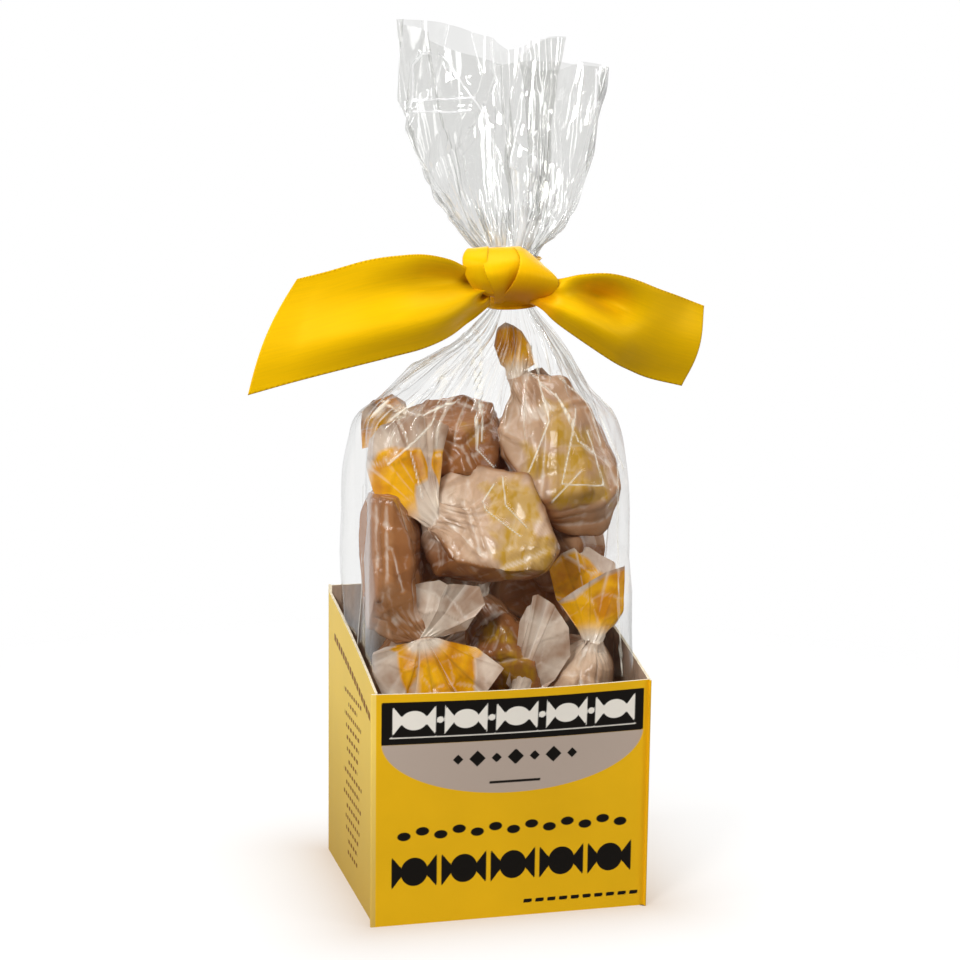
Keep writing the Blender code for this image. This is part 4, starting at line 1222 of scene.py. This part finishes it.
def tail(top, low, depths, cut, length, folds, dents):
    """A ribbon tail between its upper and lower edges, from its cut end, which bows by the cut, to the knot.

    Folds, each a place across, a depth and a reach along, deepen towards the knot, where the strip is gathered.
    Dents, each a place along, its reach, a place across, its reach and a depth, are smooth hollows or swells."""
    along = np.linspace(0, 1, 150)[:, None]
    across = np.linspace(0, 1, 70)[None, :]
    upper, lower = curve_through(top, along[:, 0])[:, None], curve_through(low, along[:, 0])[:, None]
    flat = lower + (upper - lower) * across[..., None]
    x = flat[..., 0] + cut * np.sin(np.pi * across) * (1 - ease(along / 0.12))
    y = curve_through([(d,) for d in depths], along[:, 0]) - 1.2 * np.sin(np.pi * across) * ease(along / 0.5)
    for place, deep, reach in folds:
        near = np.exp(-(1 - along) / reach)
        width = 0.05 + 0.16 * (1 - near)
        y = y + deep * near * np.exp(-(((across - place) / width) ** 2))
    for place, reach, middle, wide, deep in dents:
        y = y + deep * np.exp(-(((along - place) / reach) ** 2) - ((across - middle) / wide) ** 2)
    points = np.stack([x, y, flat[..., 1]], -1)
    uv = np.stack(np.broadcast_arrays(along * length, across * 22.0), -1)
    return points, uv


def band_over(left, right, puff):
    """A stretch of ribbon that passes over the knot from top to bottom, between a left and a right edge."""
    along = np.linspace(0, 1, 90)
    across = np.linspace(0, 1, 50)[None, :]
    edge_left, edge_right = curve_through(left, along)[:, None], curve_through(right, along)[:, None]
    points = edge_left + (edge_right - edge_left) * across[..., None]
    points[..., 1] -= puff * np.sin(np.pi * across) ** 0.7 * np.sin(np.pi * along)[:, None]
    uv = np.stack(np.broadcast_arrays(along[:, None] * 26.0, across * 22.0), -1)
    return points, uv


def knot_core():
    """The strip rolled up inside the knot: a superellipse of revolution about x, pleated round its middle.

    It fills the knot between the neck and the outer turns, as the crossed ends do."""
    along = np.linspace(-1, 1, 60)[:, None]
    angle = np.linspace(0, TURN, 90, endpoint=False)[None, :]
    size = (1 - np.abs(along) ** 2.5) ** (1 / 2.5) * (1 + 0.05 * zigzag(4 * angle / TURN + 0.3 * along))
    points = np.stack(
        np.broadcast_arrays(1.2 + 8.2 * along, -12.4 + 5.2 * size * np.cos(angle), 143.3 + 4.8 * size * np.sin(angle)), -1
    )
    uv = np.stack(np.broadcast_arrays(angle * 5.0, 11.0 + 10.0 * along), -1)
    return points, uv


def neck_band():
    """The ribbon gathered round the neck: a ring whose strip is folded into lengthwise pleats."""
    angle = np.linspace(0, TURN, 120)[:, None]
    across = np.linspace(0, 1, 60)[None, :]
    radius = 6.1 + 0.55 * zigzag(4.5 * across + 0.3 * np.sin(angle)) + 0.3 * np.sin(np.pi * across)
    z = 136.3 + 10.4 * across + 0.5 * np.sin(angle + 1)
    points = np.stack(np.broadcast_arrays(NECK[0] + radius * np.cos(angle), NECK[1] + radius * np.sin(angle), z), -1)
    uv = np.stack(np.broadcast_arrays(angle * 6.0, across * 22.0), -1)
    return points, uv


# Where the painted shade in the knot is deepest, and how far it reaches
KNOT_SHADE_FOOT = (2.5 * MM, -16.5 * MM, 137.5 * MM)  # the lowest point of the knot, in its deepest shade
KNOT_SHADE_REACH = 8.5 * MM


def satin(settings):
    """Polyester satin, woven: long floats give a broad sheen along the width, and the edges are bound tight."""
    made, tree = new_material("woven polyester satin")
    place = add_node(tree, "ShaderNodeUVMap", uv_map="UVMap").outputs[0]
    parts = add_node(tree, "ShaderNodeSeparateXYZ", {0: place})
    # Threads lie 0.1 mm apart; they are drawn at 0.25 mm so that they can be seen
    thread = maths(tree, "SINE", maths(tree, "MULTIPLY", parts.outputs[1], TURN / 0.25))
    slub = add_node(tree, "ShaderNodeMapping", {"Vector": place, "Scale": (0.12, 2.0, 1.0)}).outputs[0]
    drift = add_node(tree, "ShaderNodeTexNoise", {"Vector": slub, "Scale": 1.0, "Detail": 3.0}).outputs[0]
    edge = maths(tree, "SUBTRACT", 11.0, maths(tree, "ABSOLUTE", maths(tree, "SUBTRACT", parts.outputs[1], 11.0)))
    picot = maths(tree, "SINE", maths(tree, "MULTIPLY", parts.outputs[0], TURN / 0.9))
    bound = maths(tree, "MULTIPLY_ADD", edge, -3.0, 1.6, clamp=True)
    dots = maths(tree, "MULTIPLY", bound, maths(tree, "MULTIPLY_ADD", picot, 0.45, 0.4))
    deep = tuple(c * 0.8 for c in settings.satin[:3]) + (1.0,)
    colour = blend(tree, drift, settings.satin[:], deep)
    colour = blend(tree, dots, colour, linear("#B98A00"))
    # Towards the knot's foot the colour is blended to a deeper orange: painted shade and painted bounce light where the
    # strip lies doubled in the knot
    inside_knot = add_node(tree, "ShaderNodeTexCoord").outputs["Object"]
    from_knot = add_node(tree, "ShaderNodeVectorMath", {0: inside_knot, 1: KNOT_SHADE_FOOT}, operation="DISTANCE").outputs["Value"]
    knot_shade = maths(tree, "MULTIPLY_ADD", from_knot, -1 / KNOT_SHADE_REACH, 1.25, clamp=True)
    colour = blend(tree, maths(tree, "MULTIPLY", knot_shade, 0.85), colour, linear("#E08A02"))
    height = maths(tree, "ADD", maths(tree, "MULTIPLY", thread, 0.3), maths(tree, "MULTIPLY", drift, 1.0))
    bump = add_node(tree, "ShaderNodeBump", {"Height": height, "Strength": 0.12, "Distance": 0.0001}).outputs[0]
    shader = add_node(
        tree,
        "ShaderNodeBsdfPrincipled",
        {
            "Base Color": colour,
            "Roughness": 0.34,
            "Normal": bump,
            "Specular IOR Level": 0.25,
            "Specular Tint": linear("#FFDC50"),
            "Anisotropic": 0.5,
            "Sheen Weight": 0.15,
            "Sheen Roughness": 0.4,
            "Sheen Tint": linear("#FFE27A"),
        },
    )
    add_node(tree, "ShaderNodeOutputMaterial", {"Surface": shader.outputs[0]})
    return made


class CARAMELS_OT_ribbon(bpy.types.Operator):
    """Builds the satin ribbon: two tails, the knot and the band round the neck"""

    bl_idname = "caramels.ribbon"
    bl_label = "Ribbon"

    def execute(self, context):
        settings = context.scene.caramels_ribbon
        left, left_uv = tail(
            LEFT_TOP, LEFT_LOW, (-14.0, -16.0, -17.5, -18.0, -17.4, -15.8, -12.6), -1.6, 52.0,
            folds=((0.68, 5.6, 0.17), (0.5, -2.0, 0.14), (0.36, 3.8, 0.13), (0.86, 2.4, 0.09)),
            dents=(
                (0.66, 0.2, 1.0, 0.15, -2.0), (0.6, 0.3, 0.68, 0.18, 2.2), (0.5, 0.35, 0.28, 0.2, -2.2),
                (0.82, 0.13, 0.05, 0.18, 4.4), (0.1, 0.2, 0.9, 0.3, 1.2),
            ),
        )
        right, right_uv = tail(
            RIGHT_TOP, RIGHT_LOW, (-13.5, -15.0, -16.8, -18.0, -18.0, -17.2, -11.0), 0.8, 42.0,
            folds=((0.46, 6.0, 0.11), (0.72, -1.4, 0.1), (0.88, 1.6, 0.08)),
            dents=(
                (0.53, 0.13, 0.66, 0.17, 6.0), (0.56, 0.22, 1.0, 0.16, -2.0), (0.62, 0.24, 0.22, 0.2, -2.6),
                (0.15, 0.35, -0.1, 0.36, 5.0), (0.05, 0.12, 1.0, 0.3, 1.4),
            ),
        )
        back_panel, back_uv = band_over(
            [(-3.6, -9, 147.5), (-4.5, -13.4, 149.6), (-6.1, -17, 147), (-5.7, -18.8, 143.9), (-3.7, -17.2, 140.6),
             (-2.2, -13.0, 137.8), (-1.2, -9, 137.2)],
            [(3.0, -9, 147.5), (3.4, -13.4, 149.9), (3.4, -17.6, 147.6), (2.4, -18.4, 144.4), (1.2, -16.4, 140.8),
             (0.2, -12.4, 137.8), (0.2, -9, 137.2)],
            0.5,
        )
        front_panel, front_uv = band_over(
            [(1.2, -9, 147.6), (1.4, -13.6, 149.9), (1.9, -18.2, 148.0), (0.9, -20.4, 144.6), (-0.4, -18.2, 141.0),
             (-1.4, -12.4, 138.2), (-1.0, -9, 137.4)],
            [(3.4, -9, 147.4), (3.8, -13.2, 149.6), (7.2, -17.2, 146.4), (10.6, -18.8, 142.8), (9.8, -17.0, 139.6),
             (7.5, -12.2, 137.0), (5.6, -9, 137.2)],
            0.9,
        )
        tuck, tuck_uv = band_over(
            [(-6.2, -9, 148.6), (-8.4, -12.6, 149.4), (-10.0, -14.6, 147.4), (-9.4, -15.4, 143.6), (-7.2, -14.5, 140.6)],
            [(-3.0, -11, 149.4), (-4.2, -14.4, 149.8), (-5.2, -17.4, 146.8), (-4.6, -17.8, 142.8), (-3.0, -16.0, 139.6)],
            0.7,
        )
        ring, ring_uv = neck_band()
        core, core_uv = knot_core()
        patches = [
            patch(left, uv=left_uv, flip=True),
            patch(right, uv=right_uv),
            patch(back_panel, uv=back_uv, flip=True),
            patch(front_panel, uv=front_uv, flip=True),
            patch(tuck, uv=tuck_uv, flip=True),
            patch(ring, uv=ring_uv),
            patch(core, closed=True, uv=core_uv),
        ]
        piece = add_piece("ribbon_satin", patches, [satin(settings)])
        thick = piece.modifiers.new("thickness", "SOLIDIFY")
        thick.thickness = settings.thickness
        thick.offset = 0.0
        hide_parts("ribbon")
        return {"FINISHED"}


# ---------------------------------------------------------------- stage, light and camera


def floor_finish():
    """Matt white sweep of paper, which fades into the white backdrop away from the object."""
    made, tree = new_material("white paper sweep")
    place = add_node(tree, "ShaderNodeTexCoord").outputs["Object"]
    far = add_node(tree, "ShaderNodeVectorMath", {0: place}, operation="LENGTH").outputs["Value"]
    fade = maths(tree, "MULTIPLY_ADD", far, 8.0, -1.2, clamp=True)
    paper = add_node(tree, "ShaderNodeBsdfDiffuse", {"Color": (0.2, 0.2, 0.2, 1.0)})
    seen = add_node(tree, "ShaderNodeLightPath").outputs["Is Camera Ray"]
    # Close by, the carton's footprint tints the sweep's glow darker and warm: a painted contact shadow with painted
    # warm bounce light
    off = add_node(tree, "ShaderNodeVectorMath", {0: place}, operation="ABSOLUTE").outputs[0]
    half = (CARTON_WIDTH / 2 * MM, CARTON_DEPTH / 2 * MM, 0.0)
    off = add_node(tree, "ShaderNodeVectorMath", {0: off, 1: half}, operation="SUBTRACT").outputs[0]
    off = add_node(tree, "ShaderNodeVectorMath", {0: off, 1: (0.0, 0.0, 0.0)}, operation="MAXIMUM").outputs[0]
    off = add_node(tree, "ShaderNodeVectorMath", {0: off}, operation="LENGTH").outputs["Value"]
    near = maths(tree, "EXPONENT", maths(tree, "MULTIPLY", off, -1 / (15 * MM)))
    tint = blend(tree, near, (1.0, 1.0, 1.0, 1.0), linear("#D8C5B2"))
    glow = add_node(tree, "ShaderNodeEmission", {"Color": tint, "Strength": maths(tree, "MULTIPLY", seen, 0.82)})
    lit = add_node(tree, "ShaderNodeAddShader", {0: paper.outputs[0], 1: glow.outputs[0]})
    clear = add_node(tree, "ShaderNodeBsdfTransparent")
    mixed = add_node(tree, "ShaderNodeMixShader", {0: fade, 1: lit.outputs[0], 2: clear.outputs[0]})
    add_node(tree, "ShaderNodeOutputMaterial", {"Surface": mixed.outputs[0]})
    return made


def area_light(name, place, aim, size, power, colour=(1.0, 1.0, 1.0)):
    """A rectangular soft light at a place in metres, turned to its aim."""
    data = bpy.data.lights.new(name, "AREA")
    data.shape = "RECTANGLE"
    data.size, data.size_y = size
    data.energy = power
    data.color = colour
    light = bpy.data.objects.new(name, data)
    light.location = place
    light.rotation_euler = (Vector(aim) - Vector(place)).to_track_quat("-Z", "Y").to_euler()
    bpy.context.scene.collection.objects.link(light)
    return light


class CARAMELS_OT_stage(bpy.types.Operator):
    """Builds the floor, the soft studio light and the camera"""

    bl_idname = "caramels.stage"
    bl_label = "Stage"

    def execute(self, context):
        scene = context.scene
        settings = scene.caramels_stage
        mesh = bpy.data.meshes.new("floor")
        reach = 0.6
        mesh.from_pydata([(-reach, -reach, 0), (reach, -reach, 0), (reach, reach, 0), (-reach, reach, 0)], [], [(0, 1, 2, 3)])
        mesh.materials.append(floor_finish())
        floor = bpy.data.objects.new("floor", mesh)
        scene.collection.objects.link(floor)

        aim = (0.0, 0.0, 0.09)
        area_light("key", (-0.6, -0.66, 0.66), aim, (0.24, 0.3), settings.key)
        area_light("fill", (0.75, -0.6, 0.35), aim, (0.3, 0.6), settings.fill)
        area_light("left_strip", (-0.75, -0.05, 0.42), aim, (0.08, 0.5), 1.6)
        area_light("top", (0.0, -0.1, 0.95), aim, (0.6, 0.5), 4.5)
        area_light("back", (0.35, 0.75, 0.45), aim, (0.5, 0.4), 1.6)

        world = bpy.data.worlds.new("studio")
        world.use_nodes = True
        tree = world.node_tree
        tree.nodes.clear()
        # White to the eye; in mirrors the room behind the object is white and the room in front is dim
        ray = add_node(tree, "ShaderNodeLightPath").outputs
        way = add_node(tree, "ShaderNodeSeparateXYZ", {"Vector": add_node(tree, "ShaderNodeTexCoord").outputs["Generated"]})
        behind = maths(tree, "MULTIPLY_ADD", way.outputs[1], 1.1, 0.35, clamp=True)
        mirrored = maths(tree, "MULTIPLY", ray["Is Glossy Ray"], behind)
        # Diffuse rays find the brighter, wrap-round room that fills the shadows
        filled = maths(tree, "MULTIPLY_ADD", ray["Is Diffuse Ray"], 0.18, 0.14)
        strength = maths(tree, "ADD", maths(tree, "MULTIPLY", mirrored, 0.78), filled)
        strength = maths(tree, "MAXIMUM", strength, ray["Is Camera Ray"])
        sky = add_node(tree, "ShaderNodeBackground", {"Color": (1.0, 1.0, 1.0, 1.0), "Strength": strength})
        add_node(tree, "ShaderNodeOutputWorld", {"Surface": sky.outputs[0]})
        scene.world = world

        data = bpy.data.cameras.new("camera")
        data.lens = settings.lens
        data.sensor_width = 36.0
        camera = bpy.data.objects.new("camera", data)
        right, up = unit((0.9667, -0.2556, 0.0117)), unit((0.0311, 0.1629, 0.9862))
        forward = np.cross(up, right)
        turn = Matrix(np.stack([right, up, -forward], 1).tolist())
        camera.matrix_world = Matrix.Translation(Vector((-130.3, -483.0, 179.4)) * MM) @ turn.to_4x4()
        scene.collection.objects.link(camera)
        scene.camera = camera
        scene.view_settings.view_transform = "Standard"
        scene.cycles.transparent_max_bounces = 24
        scene.cycles.max_bounces = 8
        return {"FINISHED"}


class CARAMELS_PT_panel(bpy.types.Panel):
    """Lists the pieces"""

    bl_idname = "CARAMELS_PT_panel"
    bl_label = "Gift bag of caramels"
    bl_space_type = "VIEW_3D"
    bl_region_type = "UI"
    bl_category = "Caramels"

    def draw(self, context):
        for operator, settings in PIECES:
            box = self.layout.box()
            box.operator(operator)
            group = getattr(context.scene, settings)
            for name in group.bl_rna.properties.keys():
                if name not in ("rna_type", "name"):
                    box.prop(group, name)


PIECES = [
    ("caramels.carton", "caramels_carton"),
    ("caramels.bag", "caramels_film"),
    ("caramels.sweets", "caramels_sweets"),
    ("caramels.ribbon", "caramels_ribbon"),
    ("caramels.stage", "caramels_stage"),
]
GROUPS = {
    "caramels_carton": CartonSettings,
    "caramels_film": FilmSettings,
    "caramels_sweets": SweetSettings,
    "caramels_ribbon": RibbonSettings,
    "caramels_stage": StageSettings,
}
CLASSES = [
    *GROUPS.values(),
    CARAMELS_OT_carton,
    CARAMELS_OT_bag,
    CARAMELS_OT_sweets,
    CARAMELS_OT_ribbon,
    CARAMELS_OT_stage,
    CARAMELS_PT_panel,
]


def register():
    for one in CLASSES:
        bpy.utils.register_class(one)
    for name, group in GROUPS.items():
        setattr(bpy.types.Scene, name, bpy.props.PointerProperty(type=group))


def unregister():
    for name in GROUPS:
        delattr(bpy.types.Scene, name)
    for one in reversed(CLASSES):
        bpy.utils.unregister_class(one)


def main():
    register()
    bpy.ops.caramels.carton()
    bpy.ops.caramels.bag()
    bpy.ops.caramels.sweets()
    bpy.ops.caramels.ribbon()
    bpy.ops.caramels.stage()
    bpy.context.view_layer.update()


if __name__ == "__main__":
    main()
